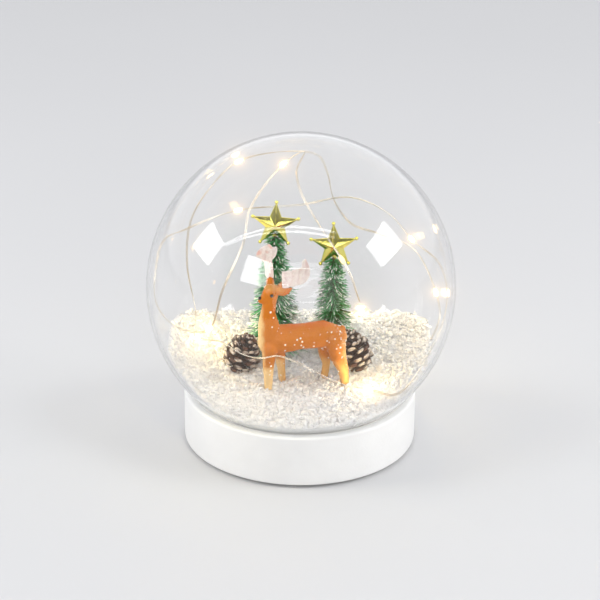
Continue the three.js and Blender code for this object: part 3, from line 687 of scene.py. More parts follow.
def led_beads(resin, dim_resin, chip, dim_chip):
    """A clear resin drop over each lit chip, drawn out along the wire."""
    beads = []
    outline = []
    for i in range(15):
        along = -1 + 2 * i / 14
        outline.append((BEAD_R * max(1 - abs(along) ** 2.4, 0) ** 0.6, along * BEAD_HALF_L))
    outline[0] = (0, -BEAD_HALF_L)
    outline[-1] = (0, BEAD_HALF_L)
    for i, length in enumerate(BEAD_LENGTHS):
        name = f"led_bead_{i + 1:02d}"
        centre, ahead = at_length(ROUTE_LINE, ROUTE_LENGTHS, length)
        place = Matrix.Translation(centre) @ ahead.to_track_quat("Z", "Y").to_matrix().to_4x4()
        drop = turned(f"resin_drop_{i + 1:02d}", outline, 24)
        for vertex in drop.data.vertices:
            wobble = noise.noise(vertex.co * 900 + Vector((i * 7, 0, 0)))
            vertex.co *= 1 + 0.1 * wobble
        drop.data.transform(place)
        give(drop, dim_resin if i + 1 == DIM_BULB else resin)
        place_on(drop, "globe", "lit_resin", name)
        beads.append(drop)
        watts = BULB_WATTS.get(i + 1, USUAL_WATTS)
        bulb_light(f"bulb_{i + 1:02d}", GLOBE + (centre - GLOBE) * 0.96 + Vector((0, 0, 2 * MM)), watts)
        core = lit_chip_mesh(f"led_chip_{i + 1:02d}")
        core.data.transform(place)
        core.visible_glossy = False
        give(core, dim_chip if i + 1 == DIM_BULB else chip)
        place_on(core, "globe", "lit_resin")
        beads.append(core)
    return beads


def lit_chip_mesh(name):
    """A small bevelled chip lying along Z."""
    edit = bmesh.new()
    bmesh.ops.create_cube(edit, size=1)
    bmesh.ops.scale(edit, vec=(0.9 * MM, 0.5 * MM, 1.7 * MM), verts=edit.verts)
    bmesh.ops.bevel(edit, geom=edit.edges[:], offset=0.12 * MM, segments=2, affect="EDGES")
    return edited_object(name, edit)


# --- glass and base ---------------------------------------------------------------------


def glass_shell(material):
    """The blown ball: outer and inner skins joined by a fire-polished lip at the mouth."""
    def arc(radius, steps=72):
        last = math.acos((MOUTH_Z + 0.8 * MM - GLOBE.z) / radius)
        angles = [last * i / steps for i in range(steps + 1)]
        return [(radius * math.sin(a), GLOBE.z + radius * math.cos(a)) for a in angles]

    outer, inner = arc(GLOBE_R), arc(INNER_R)
    outer[0], inner[0] = (0, outer[0][1]), (0, inner[0][1])
    (outer_r, lip_z), (inner_r, _) = outer[-1], inner[-1]
    middle_r = (outer_r + inner_r) / 2
    half = (outer_r - inner_r) / 2
    lip = []
    for i in range(1, 8):
        angle = math.pi * i / 8
        lip.append((middle_r + half * math.cos(angle), lip_z - half * 0.5 * math.sin(angle)))
    outline = outer + lip + inner[::-1]
    shell = turned("glass_shell", outline[::-1], 144)
    give(shell, material)
    return place_on(shell, "globe", "clear_glass", "glass_globe")


def rounded_outline(corners, radius, steps=5):
    """Rounds each corner of a closed outline of (radius, height) points; radius may be per corner."""
    result = []
    count = len(corners)
    for i, (x, z) in enumerate(corners):
        amount = radius[i] if hasattr(radius, "__len__") else radius
        here = Vector((x, z))
        if amount <= 0:
            result.append((x, z))
            continue
        before, after = Vector(corners[i - 1]), Vector(corners[(i + 1) % count])
        start = here + (before - here).normalized() * amount
        end = here + (after - here).normalized() * amount
        for j in range(steps + 1):
            t = j / steps
            point = start * (1 - t) ** 2 + here * 2 * t * (1 - t) + end * t**2
            result.append((point.x, point.y))
    return result


GROOVE_INNER_R = 42 * MM
GROOVE_OUTER_R = 53.4 * MM
GROOVE_FLOOR = 21.3 * MM
POCKET_GAP = 0.3 * MM
POCKET_CORNER_R = 14 * MM
RECESS_TOP = 4.3 * MM
TUB_LOW, TUB_HIGH = (-27.3 * MM, -22.1 * MM), (27.3 * MM, 24.3 * MM)
BORE_R, BORE_LOW = 2.4 * MM, 8.4 * MM


def block(name, low, high):
    edit = bmesh.new()
    bmesh.ops.create_cube(edit, size=1)
    size = Vector(high) - Vector(low)
    bmesh.ops.scale(edit, vec=size, verts=edit.verts)
    bmesh.ops.translate(edit, vec=(Vector(high) + Vector(low)) / 2, verts=edit.verts)
    return edited_object(name, edit)


def rounded_block(name, low, high, corner):
    """A block whose upright edges are rounded."""
    piece = block(name, low, high)
    edit = bmesh.new()
    edit.from_mesh(piece.data)
    upright = [e for e in edit.edges if abs((e.verts[0].co - e.verts[1].co).normalized().z) > 0.9]
    bmesh.ops.bevel(edit, geom=upright, offset=corner, segments=12, profile=0.5, affect="EDGES")
    edit.to_mesh(piece.data)
    edit.free()
    return piece


def turned_base(material):
    """The painted disc, with its groove for the glass and its pocket for the battery box."""
    low, top = base_low.z, BASE_TOP
    corners = [(0, low), (BASE_R, low), (BASE_R, top), (GROOVE_OUTER_R, top), (GROOVE_OUTER_R, GROOVE_FLOOR),
               (GROOVE_INNER_R, GROOVE_FLOOR), (GROOVE_INNER_R, top), (0, top)]
    radii = [0, 1.4 * MM, 1.5 * MM, 0.35 * MM, 0.2 * MM, 0.2 * MM, 0.3 * MM, 0]
    outline = rounded_outline(corners, radii)
    base = turned("base_turned", outline, 192)
    box_low, box_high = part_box("battery_box")
    gap = POCKET_GAP
    recess = rounded_block("recess", (box_low.x - gap, box_low.y - gap, low - 2 * MM),
                           (box_high.x + gap, box_high.y + gap, RECESS_TOP), POCKET_CORNER_R)
    tub = block("tub", (*TUB_LOW, low + MM), (*TUB_HIGH, box_high.z + gap))
    bore = turned("bore", [(0, BORE_LOW), (BORE_R, BORE_LOW), (BORE_R, top + MM), (0, top + MM)], 32)
    bore.data.transform(Matrix.Translation((HOLE[0], HOLE[1], 0)))
    cut(base, [recess, tub, bore])
    sharpen(base, 35)
    give(base, material)
    return place_on(base, "globe", "white_paint", "base_body")


def refined(node, name, bevel, material, slot, body="globe"):
    """A CAD piece's own shape with its flat facets merged and its edges softly rounded."""
    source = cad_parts[node]
    piece = in_scene(name, source.data.copy())
    edit = bmesh.new()
    edit.from_mesh(piece.data)
    bmesh.ops.remove_doubles(edit, verts=edit.verts, dist=1e-6)
    bmesh.ops.dissolve_limit(edit, angle_limit=math.radians(1), verts=edit.verts, edges=edit.edges)
    edit.to_mesh(piece.data)
    edit.free()
    soft_edges(piece, bevel, 40)
    sharpen(piece, 35)
    give(piece, material)
    return place_on(piece, body, slot, node)


def sealant(material):
    """Milky silicone that fills the groove round the lip of the glass, with a soft fillet outside."""
    low, high = GROOVE_FLOOR + 0.05 * MM, BASE_TOP
    outline = [
        (GROOVE_INNER_R + 0.05 * MM, low),
        (GROOVE_OUTER_R - 0.05 * MM, low),
        (GROOVE_OUTER_R - 0.05 * MM, high - 0.5 * MM),
        (53 * MM, high - 0.35 * MM),
        (52.6 * MM, high),
        (52.2 * MM, high - 0.1 * MM),
        (51.4 * MM, high - 0.9 * MM),
        (49 * MM, high - 1.8 * MM),
        (46 * MM, high - 2.2 * MM),
        (GROOVE_INNER_R + 0.05 * MM, high - 2.2 * MM),
    ]
    ring = turned("sealant_ring", outline, 192)
    sharpen(ring, 50)
    give(ring, material)
    return place_on(ring, "globe", "clear_silicone", "silicone_seal")


# --- snow -------------------------------------------------------------------------------

SNOW_FLOOR = FLOOR_TOP + 0.1 * MM
SNOW_LOW = 24.6 * MM
SNOW_WALL_R = INNER_R - 0.2 * MM
SNOW_FOOT_R = 42.6 * MM


def snow_height(x, y):
    """Height of the snow, in metres: low in front, heaped at the sides and back."""
    x, y = x / MM, y / MM
    back = math.exp(-(((y - 46) / 26) ** 2))
    sides = min(max((abs(x) - 22) / 42, 0), 1) ** 2.5
    ripples = 0.5 * math.sin(0.31 * x + 1) * math.cos(0.27 * y)
    towards_back = min(max((y + 48) / 40, 0.1), 1)
    return (32 + 9.5 * back + 16 * sides * towards_back + ripples) * MM


def snow_wall(z):
    """Radius of the snow where it lies against the glass."""
    return math.sqrt(SNOW_WALL_R**2 - (GLOBE.z - z) ** 2)


def snow_lumps(x, y):
    """Lumps on the snow, coarse and fine."""
    place = Vector((x, y, 0))
    coarse = noise.noise(place * 170) * 1.7 + noise.noise(place * 420) * 1.2
    fine = noise.noise(place * 1000) * 0.5 + noise.noise(place * 2300) * 0.2
    return (coarse + fine) * MM


def snow_surface(x, y):
    return snow_height(x, y) + snow_lumps(x, y)


def snow_heap(material):
    """The heap as one closed mesh that lies against the inside of the glass."""
    around, across, down = 420, 150, 14
    edges = []
    for j in range(around):
        angle = 2 * math.pi * j / around
        cos, sin = math.cos(angle), math.sin(angle)
        edge = 0.05
        for _ in range(8):
            edge = snow_wall(snow_height(edge * cos, edge * sin))
        edges.append((cos, sin, edge))
    vertices = []
    for i in range(across, 0, -1):
        for cos, sin, edge in edges:
            r = edge * i / across
            z = snow_surface(r * cos, r * sin) if i < across else snow_height(r * cos, r * sin)
            r = min(r, snow_wall(z))
            vertices.append((r * cos, r * sin, z))
    faces = grid_faces(across, around, closed=True)
    top = len(vertices)
    vertices.append((0, 0, snow_surface(0, 0)))
    last = (across - 1) * around
    faces += [(last + j, last + (j + 1) % around, top) for j in range(around)]

    def ring_below(rim, points):
        ring = range(len(vertices), len(vertices) + around)
        vertices.extend(points)
        faces.extend((rim[j], ring[j], ring[(j + 1) % around], rim[(j + 1) % around]) for j in range(around))
        return ring

    rim = range(around)
    for i in range(1, down + 1):
        points = []
        for cos, sin, edge in edges:
            high = snow_height(edge * cos, edge * sin)
            z = high + (SNOW_LOW - high) * i / down
            r = snow_wall(z) + 0.25 * MM * noise.noise(Vector((cos * 40, sin * 40, z * 900)))
            points.append((r * cos, r * sin, z))
        rim = ring_below(rim, points)
    for z in (SNOW_LOW, SNOW_FLOOR):
        rim = ring_below(rim, [(SNOW_FOOT_R * cos, SNOW_FOOT_R * sin, z) for cos, sin, _ in edges])
    bottom = len(vertices)
    vertices.append((0, 0, SNOW_FLOOR))
    faces += [(rim[(j + 1) % around], rim[j], bottom) for j in range(around)]
    heap = mesh_object("snow_heap", vertices, faces)
    fix_normals(heap)
    give(heap, material)
    return place_on(heap, "globe", "snow_flock", "snow_bed")


def fix_normals(piece):
    edit = bmesh.new()
    edit.from_mesh(piece.data)
    bmesh.ops.recalc_face_normals(edit, faces=edit.faces)
    edit.to_mesh(piece.data)
    edit.free()


def crumb_shapes(count, seed):
    """Small irregular chips as (vertices, faces) arrays, about 1 unit across."""
    draw = random.Random(seed)
    edit = bmesh.new()
    bmesh.ops.create_icosphere(edit, subdivisions=1, radius=0.5)
    points = np.array([v.co[:] for v in edit.verts])
    faces = np.array([[v.index for v in f.verts] for f in edit.faces])
    edit.free()
    shapes = []
    for _ in range(count):
        stretch = np.array([draw.uniform(0.8, 1.2), draw.uniform(0.55, 1.0), draw.uniform(0.25, 0.6)])
        rough = 1 + np.array([draw.uniform(-0.35, 0.3) for _ in points])[:, None]
        shapes.append((points * stretch * rough, faces))
    return shapes


def random_turn(draw):
    turn = Quaternion((draw.gauss(0, 1), draw.gauss(0, 1), draw.gauss(0, 1), draw.gauss(0, 1))).normalized()
    return np.array(turn.to_matrix())


FLAKES_ON_TOP, FLAKES_ON_GLASS = 13000, 5000
FLAKE_SHAPES = 12
FLAKE_REACH = 68.5 * MM


def snow_flakes(material):
    """Loose flakes over the heap and up against the glass."""
    draw = random.Random(11)
    shapes = crumb_shapes(FLAKE_SHAPES, 5)
    places = []
    while len(places) < FLAKES_ON_TOP:
        angle = draw.uniform(0, 2 * math.pi)
        r = FLAKE_REACH * math.sqrt(draw.random())
        x, y = r * math.cos(angle), r * math.sin(angle)
        z = snow_surface(x, y) + draw.uniform(-0.3, 0.35) * MM
        if math.sqrt(r * r + (GLOBE.z - z) ** 2) > SNOW_WALL_R - 0.5 * MM:
            continue
        size = draw.choice((1.0, 1.4, 1.9, 2.5, 3.3)) * draw.uniform(0.8, 1.2) * MM
        places.append((draw.randrange(FLAKE_SHAPES), random_turn(draw) * size, np.array((x, y, z))))
    for _ in range(FLAKES_ON_GLASS):
        angle = draw.uniform(0, 2 * math.pi)
        cos, sin = math.cos(angle), math.sin(angle)
        high = snow_height(0.06 * cos, 0.06 * sin) + draw.gauss(0.4, 0.9) * MM
        z = draw.uniform(SNOW_LOW + MM, high)
        size = draw.uniform(0.5, 1.2) * MM
        r = snow_wall(z) - 0.42 * size
        place = np.array((r * cos, r * sin, z))
        places.append((draw.randrange(FLAKE_SHAPES), random_turn(draw) * size, place))
    flakes = merged_copies("snow_flakes", shapes, places)
    flakes.data.shade_smooth()
    give(flakes, material)
    return place_on(flakes, "globe", "snow_flock")


# --- deer -------------------------------------------------------------------------------

DEER_PLACE = Matrix.Translation((3 * MM, -9 * MM, 29.2 * MM)) @ Matrix.Rotation(math.radians(190), 4, "Z")
DEER_PLACE = DEER_PLACE @ Matrix.Scale(MM, 4)

# The figure in its own frame, in millimetres: +X ahead, +Y to its left, Z up from the soles.
# Each row is a chain of (x, y, z, radius).
DEER_BODY = [
    [(18, 0, 26.4, 6.2), (13, 0, 27.6, 7.4), (3, 0, 28.2, 6.5), (-8, 0, 28.8, 6.9), (-14, 0, 27, 6)],
    [(18, 0, 30, 6), (18.9, 0, 36.5, 5), (19.1, 0.2, 42, 3.6), (18.5, 0.4, 47, 3.2), (17.4, 0.5, 52, 3.3)],
    [(17, 0.5, 53.2, 3.5), (19, 0.6, 51.6, 3.5), (20.8, 0.7, 49.7, 2.6), (22.4, 0.8, 48.9, 1.7)],
    [(15.6, 0.5, 55, 1.7), (19.6, 0.6, 55.3, 1.6)],
    [(17.8, -0.8, 55, 2), (17.8, -1.4, 58, 1.9)],
    [(13.6, 2.6, 54.6, 1.3), (13.2, 3, 56.6, 1.2)],
    [(-17.4, 0, 31, 1.7), (-18.8, 0, 26, 1.2)],
]
DEER_EARS = [
    [(14.8, 2.8, 53, 1.1), (12.6, 3.3, 53.6, 2.1), (10.6, 3.7, 54.4, 1.9), (7.6, 4, 56, 0.5)],
    [(14.8, -1.8, 53, 1.1), (12.6, -2.8, 53.8, 2), (10.6, -3.8, 54.8, 1.8), (8, -4.8, 56.4, 0.5)],
]
DEER_LEGS = [
    [(18.6, 3.2, 24, 4), (19.2, 3.6, 18, 3), (19.4, 3.6, 11.3, 2.4), (19.2, 3.6, 1.6, 1.9)],
    [(14, -3.2, 24, 3.8), (12.2, -3.6, 15, 2.5), (11.8, -3.6, 10, 2), (11.2, -3.6, 1.6, 1.7)],
    [(-13.5, 3, 26, 5.2), (-15, 3.8, 17.6, 4), (-17.8, 3.8, 10.3, 2.7), (-18.8, 3.8, 1.6, 1.9)],
    [(-9.5, -3, 25, 4.8), (-9.4, -3.7, 17.5, 3), (-10.6, -3.8, 11, 2.1), (-9.6, -3.8, 1.6, 1.7)],
]
EYES = [(17.8, 3.35, 52.3), (17.8, -2.3, 52.3)]
EYE_R = 0.95
NOSE = (23, 0.9, 50.1)
# Pale cream: the painted highlight down the front of the neck, and the pale flecks on the rump.
CREAM_AND_HIGHLIGHT = np.array((0.84, 0.6, 0.3))
GOLDEN = np.array((0.66, 0.36, 0.11))
ORANGE = np.array((0.55, 0.16, 0.0005))
DEEP = np.array((0.56, 0.11, 0.0005))


def paint_of(point):
    """Airbrushed colour at a point of the figure: orange, with golden legs, chest and face, and a painted
    highlight of pale cream down the front edge of the neck.
    """
    x, _, z = point
    blur = noise.noise(point * 0.25) * 2.2 + noise.noise(point * 0.9) * 0.8
    golden = smooth_step(19, 11, z + blur)
    golden = max(golden, smooth_step(20.5, 23.5, x + blur * 0.6) * smooth_step(44, 36, z))
    golden = max(golden, smooth_step(53.5, 55.5, z + blur * 0.4) * 0.6 * smooth_step(57.6, 56.6, z))
    deep = smooth_step(33, 35.4, z + blur * 0.5) * smooth_step(16, 8, x)
    nape = smooth_step(36, 40, z + blur) * smooth_step(50, 44, z) * smooth_step(20.5, 16.5, x) * 0.6
    deep = max(deep, nape)
    deep = max(deep, smooth_step(12.5, 9.5, x) * smooth_step(50, 52, z))
    # Painted highlight: pale cream down the front edge of the neck and chest; also paler low on the front
    # legs.
    pale = smooth_step(21, 23.6, x + blur * 0.3) * smooth_step(48, 42, z)
    pale = max(pale, smooth_step(17, 13, z + blur) * smooth_step(10, 14, x))
    rump = smooth_step(-15, -19, x + blur * 1.2) * smooth_step(31, 24, z + blur) * smooth_step(14, 19, z)
    colour = ORANGE + (GOLDEN - ORANGE) * golden
    colour = colour + (DEEP - colour) * deep * 0.7
    colour = colour + (CREAM_AND_HIGHLIGHT - colour) * max(pale * 0.8, rump * 0.55)
    return colour * (1 + 0.14 * noise.noise(point * 2.1) + 0.1 * noise.noise(point * 5.3))


def smooth_step(low, high, value):
    share = min(max((value - low) / (high - low), 0), 1)
    return share * share * (3 - 2 * share)


def remeshed(piece, voxel, rounds):
    """Melts overlapping parts into one skin, then relaxes it."""
    modifier = piece.modifiers.new("remesh", "REMESH")
    modifier.mode = "VOXEL"
    modifier.voxel_size = voxel
    modifier = piece.modifiers.new("relax", "SMOOTH")
    modifier.factor = 0.5
    modifier.iterations = rounds
    apply_modifiers(piece)
    piece.data.shade_smooth()


def deer_figure(material):
    """The moulded body, painted by vertex."""
    limbs = [limb("limb", rows, flat=0.86) for rows in DEER_BODY]
    limbs += [limb("limb", rows) for rows in DEER_LEGS]
    limbs += [limb("limb", rows, flat=0.42) for rows in DEER_EARS]
    body = joined("deer_figure", limbs)
    remeshed(body, 0.42, 6)
    push(body, lambda co, normal: normal * (0.2 * noise.noise(co * 0.35) + 0.07 * noise.noise(co * 1.1)))
    colour_points(body, [paint_of(v.co) for v in body.data.vertices])
    body.data.transform(DEER_PLACE)
    give(body, material)
    return place_on(body, "globe", "deer_paint", "deer_body")


# Painted spots on the near flank: how many, and the patch they fall in, along and up the figure.
SPOT_PATCHES = [
    (3, (16.5, 18.5), (35, 44)),
    (8, (-3, 12), (24, 32)),
    (9, (-17, -7), (20, 34)),
    (2, (18.5, 19.5), (13, 17)),
]
SPOT_GAP = 1.7


def spot_places():
    """Scattered spots: along and up the figure, and radius, no two of them touching."""
    draw = random.Random(23)
    spots = []
    for count, (back, front), (low, high) in SPOT_PATCHES:
        wanted = len(spots) + count
        while len(spots) < wanted:
            x, z = draw.uniform(back, front), draw.uniform(low, high)
            if all(math.hypot(x - other[0], z - other[1]) > SPOT_GAP for other in spots):
                spots.append((x, z, draw.uniform(0.4, 0.7)))
    return spots


def deer_spots(figure, material):
    """Thick drops of white paint that follow the surface under them."""
    back = DEER_PLACE.inverted()
    near = [(back @ v.co, v.normal.copy(), v.co.copy()) for v in figure.data.vertices]
    near = [row for row in near if row[0].y > 0]
    drops = []
    for x, z, radius in spot_places():
        _, normal, place = min(near, key=lambda row: (row[0].x - x) ** 2 + (row[0].z - z) ** 2)
        drop = turned("spot", drop_outline(0.85 * radius * MM, 0.25 * MM), 14)
        drop.data.transform(Matrix.Translation(place) @ normal.to_track_quat("Z", "Y").to_matrix().to_4x4())
        drops.append(drop)
    spots = joined("deer_spots", drops)
    spots.data.shade_smooth()
    give(spots, material)
    return place_on(spots, "globe", "deer_paint")


def deer_beads(material):
    """Eyes and nose: glossy drops of dark paint with a thick edge."""
    drops = []
    for x, side, z in EYES:
        drop = turned("drop", drop_outline(EYE_R, 0.7), 20)
        turn = Matrix.Rotation(math.radians(-90 if side > 0 else 90), 4, "X")
        drop.data.transform(Matrix.Translation((x, side, z)) @ turn)
        drops.append(drop)
    nose = turned("drop", drop_outline(1.05, 0.9), 20)
    nose.data.transform(Matrix.Translation(NOSE) @ Matrix.Rotation(math.radians(62), 4, "Y"))
    drops.append(nose)
    beads = joined("deer_face_beads", drops)
    beads.data.shade_smooth()
    beads.data.transform(DEER_PLACE)
    give(beads, material)
    return place_on(beads, "globe", "deer_paint")


def drop_outline(radius, height):
    """A low dome with a closed underside."""
    dome = [(radius * math.cos(a), height * math.sin(a)) for a in (math.radians(15 * i) for i in range(6))]
    return [(0, -0.4 * height), (0.8 * radius, -0.4 * height), *dome, (0, height)]


# Antler outlines in the figure's XZ plane, from the foot: (x, z) is a corner, and (px, pz, x, z) is a curve
# to a corner, pulled towards (px, pz).
ANTLER_NEAR = [
    (13, 56.4), (13, 65), (8, 64, 3, 66), (3.5, 68, 2.5, 70), (1.5, 71, 1, 69.5), (-3, 62, 3, 57.5),
]
ANTLER_FAR = [
    (16, 59), (17, 69), (14.5, 71, 14.5, 75), (17, 75.5), (18, 77.5, 20, 76.5), (25, 74, 24.5, 71),
    (22, 70, 21, 68), (19.5, 59),
]


def drawn(rows, steps=5):
    """The outline's points, with each curve as a few short lines."""
    points = [Vector(rows[0])]
    for row in rows[1:]:
        start, end = points[-1], Vector(row[-2:])
        pull = Vector(row[:2]) if len(row) == 4 else (start + end) / 2
        for share in (k / steps for k in range(1, steps + 1)):
            points.append(start * (1 - share) ** 2 + pull * 2 * share * (1 - share) + end * share ** 2)
    return points


def antler(name, outline, y, cup, material, node):
    """A flocked palm: a thin cupped plate with rounded edges and low ribs."""
    smooth = []
    corners = drawn(outline)
    count = len(corners)
    for i in range(count):
        before, here, after = (corners[(i + k) % count] for k in (-1, 0, 1))
        smooth.append(here * 0.75 + before * 0.25)
        smooth.append(here * 0.75 + after * 0.25)
    vertices = [(x, y + side * 0.62, z) for side in (-1, 1) for x, z in smooth]
    n = len(smooth)
    faces = [list(range(n)), list(range(2 * n - 1, n - 1, -1))]
    faces += [(j, n + j, n + (j + 1) % n, (j + 1) % n) for j in range(n)]
    plate = mesh_object(name, vertices, faces)
    fix_normals(plate)
    remeshed(plate, 0.2, 3)
    middle_x = sum(p.x for p in smooth) / n
    middle_z = sum(p.y for p in smooth) / n

    def shape(co, normal):
        bend = cup * (((co.x - middle_x) / 7) ** 2 + ((co.z - middle_z) / 9) ** 2 - 0.4)
        fuzz = 0.16 * noise.noise(co * 2.6) + 0.14 * noise.noise(co * 6)
        return normal * (0.1 * antler_rib(co) + fuzz) + Vector((0, bend, 0))

    push(plate, shape)
    colour_points(plate, [antler_tint(v.co, middle_z) for v in plate.data.vertices])
    plate.data.transform(DEER_PLACE)
    give(plate, material)
    return place_on(plate, "globe", "antler_flock", node)


def antler_rib(point):
    """Low uneven ribs that fan up the palm, from -1 to 1."""
    wander = noise.noise(point * 0.22) * 1.6 + noise.noise(point * 0.7) * 0.7
    return math.sin((point.x + 0.12 * point.z) * 1.9 + wander)


def antler_tint(point, middle_z):
    """Pinkish white, with painted mauve shade in the hollows between ribs and mauve blotches at random,
    redder at the tips.
    """
    blotch = smooth_step(0, 0.5, noise.noise(point * 0.8))
    # Painted shade: mauve where the ribs dip, mixed with mauve blotches at random.
    rib_shade_and_blotch = smooth_step(0.2, 1, -antler_rib(point)) * 0.4 + 0.6 * blotch
    tip = smooth_step(0.25, 0.6, noise.noise(point * 0.4 + Vector((5, 0, 0))) + 0.03 * (point.z - middle_z))
    pale, mauve_shade_and_blotch, red = np.array((0.88, 0.78, 0.76)), np.array((0.66, 0.48, 0.48)), np.array((0.78, 0.25, 0.14))
    colour = pale + (mauve_shade_and_blotch - pale) * min(rib_shade_and_blotch, 1) * 0.6
    return colour + (red - colour) * tip * 0.4


# --- trees ------------------------------------------------------------------------------

# Millimetres: place, the foliage's foot and top, its radius at each, and the star's height. The
# count is of bristles.
TREES = {
    "left": {
        "x": -13, "y": 20, "foot": 38, "top": 97, "foot_r": 14.6, "top_r": 4.6,
        "star_z": 103.7, "count": 2000,
    },
    "right": {
        "x": 16, "y": 22, "foot": 40, "top": 84.5, "foot_r": 11.6, "top_r": 4.8,
        "star_z": 92, "count": 1350,
    },
}
STEM_WIRE_R = 0.42 * MM
FROSTED_SHARE = 0.2
GREENS = (0.01, 0.2, 0.04), (0.025, 0.36, 0.09), (0.08, 0.5, 0.16), (0.003, 0.06, 0.012)
FROST = np.array((0.82, 0.86, 0.82))


def twisted_stem(side, tree, material):
    """Two dark wires twisted together, as they grip the bristles."""
    low, high = FLOOR_TOP, (tree["star_z"] - 6) * MM
    vertices, faces = [], []
    steps = 220
    for start in (0, math.pi):
        line = []
        for i in range(steps + 1):
            turn = start + i * 0.42
            reach = Vector((math.cos(turn), math.sin(turn), 0)) * STEM_WIRE_R
            line.append(Vector((tree["x"] * MM, tree["y"] * MM, low + (high - low) * i / steps)) + reach)
        add_skin(vertices, faces, *strand_mesh(line, STEM_WIRE_R, 8))
    stem = mesh_object(f"twisted_stem_{side}", vertices, faces)
    give(stem, material)
    return place_on(stem, "globe", "stem_wire", f"tree_stem_{side}")


def bristle_radius(tree, share):
    """Reach of the bristles at a share of the height: a cone trimmed into tiers."""
    reach = tree["foot_r"] + (tree["top_r"] - tree["foot_r"]) * share**1.15
    tier = (share * 8.5) % 1
    return reach * (1.1 - 0.26 * tier)


def bristles(side, tree, material, seed):
    """Fine bristles round the stem, in a spiral, some with white frosted tips."""
    draw = random.Random(seed)
    vertices, faces, tints, tips = [], [], [], []
    count = tree["count"]
    for i in range(count):
        share = (i + draw.random()) / count
        share = min(max(share + 0.012 * math.sin(i * 0.9), 0), 1)
        z = (tree["foot"] + (tree["top"] - tree["foot"]) * share) * MM
        angle = i * SPIRAL_TURN + draw.gauss(0, 0.35)
        reach = bristle_radius(tree, share) * draw.uniform(0.82, 1.1) * MM
        rise = draw.gauss(0.22, 0.14)
        cos, sin = math.cos(angle), math.sin(angle)
        root = Vector((tree["x"] * MM, tree["y"] * MM, z))
        out = Vector((cos, sin, 0))
        side_way = Vector((-sin, cos, 0)) * draw.gauss(0, 0.12)
        line = []
        for k in range(4):
            t = k / 3
            droop = Vector((0, 0, reach * (rise * t - 0.28 * t * t)))
            line.append(root + (out + side_way * t) * reach * t + droop)
        frosted = draw.random() < FROSTED_SHARE
        colour = np.array(draw.choice(GREENS))
        thick = draw.uniform(0.19, 0.3) * MM
        first = len(vertices)
        for k, centre in enumerate(line):
            radius = thick * (1 - 0.2 * k) if not (frosted and k == 3) else thick * draw.uniform(1.0, 1.6)
            for j in range(3):
                a = 2 * math.pi * j / 3
                spoke = Vector((-sin, cos, 0)) * math.cos(a) + Vector((0, 0, 1)) * math.sin(a)
                vertices.append(centre + spoke * radius)
                white = frosted and (k == 3 or (k == 2 and draw.random() < 0.4))
                # Painted shade: each green bristle is darker towards the stem, inside the tree, and lightest
                # at its tip.
                tints.append(FROST if white else colour * (0.75 + 0.3 * k / 3))
        for k in range(3):
            for j in range(3):
                a, b = first + k * 3 + j, first + k * 3 + (j + 1) % 3
                faces.append((a, b, b + 3, a + 3))
        faces.append((first + 2, first + 1, first))
        faces.append((first + 9, first + 10, first + 11))
        tips.append(line[-1])
    brush = mesh_object(f"bristles_{side}", vertices, faces)
    colour_points(brush, tints)
    give(brush, material)
    place_on(brush, "globe", "green_bristle", f"tree_bristles_{side}")
    return tips


STAR_R = 11.9 * MM
STAR_WAIST_R = 5.0 * MM
STAR_THICK = 2.9 * MM


def star(side, tree, tilt, material):
    """A faceted five-point star with a soft rim, a ball on each tip and a socket on the stem."""
    rim = []
    for i in range(10):
        angle = math.radians(90 + 36 * i)
        radius = STAR_WAIST_R if i % 2 else STAR_R
        rim.append(Vector((radius * math.cos(angle), 0, radius * math.sin(angle))))
    edge = 0.3 * MM
    vertices = [Vector((0, -STAR_THICK, 0)), Vector((0, STAR_THICK, 0))]
    vertices += [point + Vector((0, -edge, 0)) for point in rim]
    vertices += [point + Vector((0, edge, 0)) for point in rim]
    faces = []
    for i in range(10):
        here, after = 2 + i, 2 + (i + 1) % 10
        faces += [(0, here, after), (1, after + 10, here + 10), (here, here + 10, after + 10, after)]
    body = mesh_object(f"star_facets_{side}", vertices, faces)
    fix_normals(body)
    soft_edges(body, 0.16 * MM, 12)
    sharpen(body, 40)
    parts = [body]
    for point in rim[::2]:
        ball = turned("ball", ball_outline(0.95 * MM), 16)
        ball.data.transform(Matrix.Translation(point * 0.985))
        ball.data.shade_smooth()
        parts.append(ball)
    sleeve = [(0, -7.4 * MM), (1.15 * MM, -7.4 * MM), (1.15 * MM, -3 * MM), (0, -3 * MM)]
    socket = turned("socket", rounded_outline(sleeve, [0, 0.25 * MM, 0.25 * MM, 0]), 20)
    socket.data.transform(Matrix.Translation((0, 0.9 * MM, 0)))
    parts.append(socket)
    whole = joined(f"star_{side}_plated", parts)
    place = Matrix.Translation((tree["x"] * MM, tree["y"] * MM, tree["star_z"] * MM))
    whole.data.transform(place @ Matrix.Rotation(math.radians(tilt), 4, "Y"))
    give(whole, material)
    return place_on(whole, "globe", "gold_plating", f"star_{side}")


def ball_outline(radius, steps=8):
    angles = [math.pi * i / steps for i in range(steps + 1)]
    points = [(radius * math.sin(a), -radius * math.cos(a)) for a in angles]
    points[0], points[-1] = (0, -radius), (0, radius)
    return points


# --- pine cones -------------------------------------------------------------------------

CONES = {
    "left": {"x": -29, "y": 6, "z": 39.2, "r": 8.8, "length": 21.5, "yaw": 70, "pitch": 70},
    "right": {"x": 26.2, "y": 6, "z": 41.6, "r": 8.8, "length": 23, "yaw": -70, "pitch": 70},
}
CONE_SCALES = 78
# Along a scale from its root: distance out, half width, half thickness and lift, as shares of its size.
SCALE_ROWS = [
    (0, 0.14, 0.07, 0),
    (0.45, 0.32, 0.07, -0.03),
    (0.74, 0.47, 0.08, -0.01),
    (0.92, 0.5, 0.13, 0.05),
    (1.02, 0.34, 0.12, 0.11),
]
# Near black: the cone's own dark brown and painted shadow, on the core and on the undersides of the scales.
BARK_AND_SHADOW = np.array((0.012, 0.006, 0.005))
UMBER = np.array((0.1, 0.042, 0.024))
DUSTY = np.array((0.76, 0.66, 0.58))


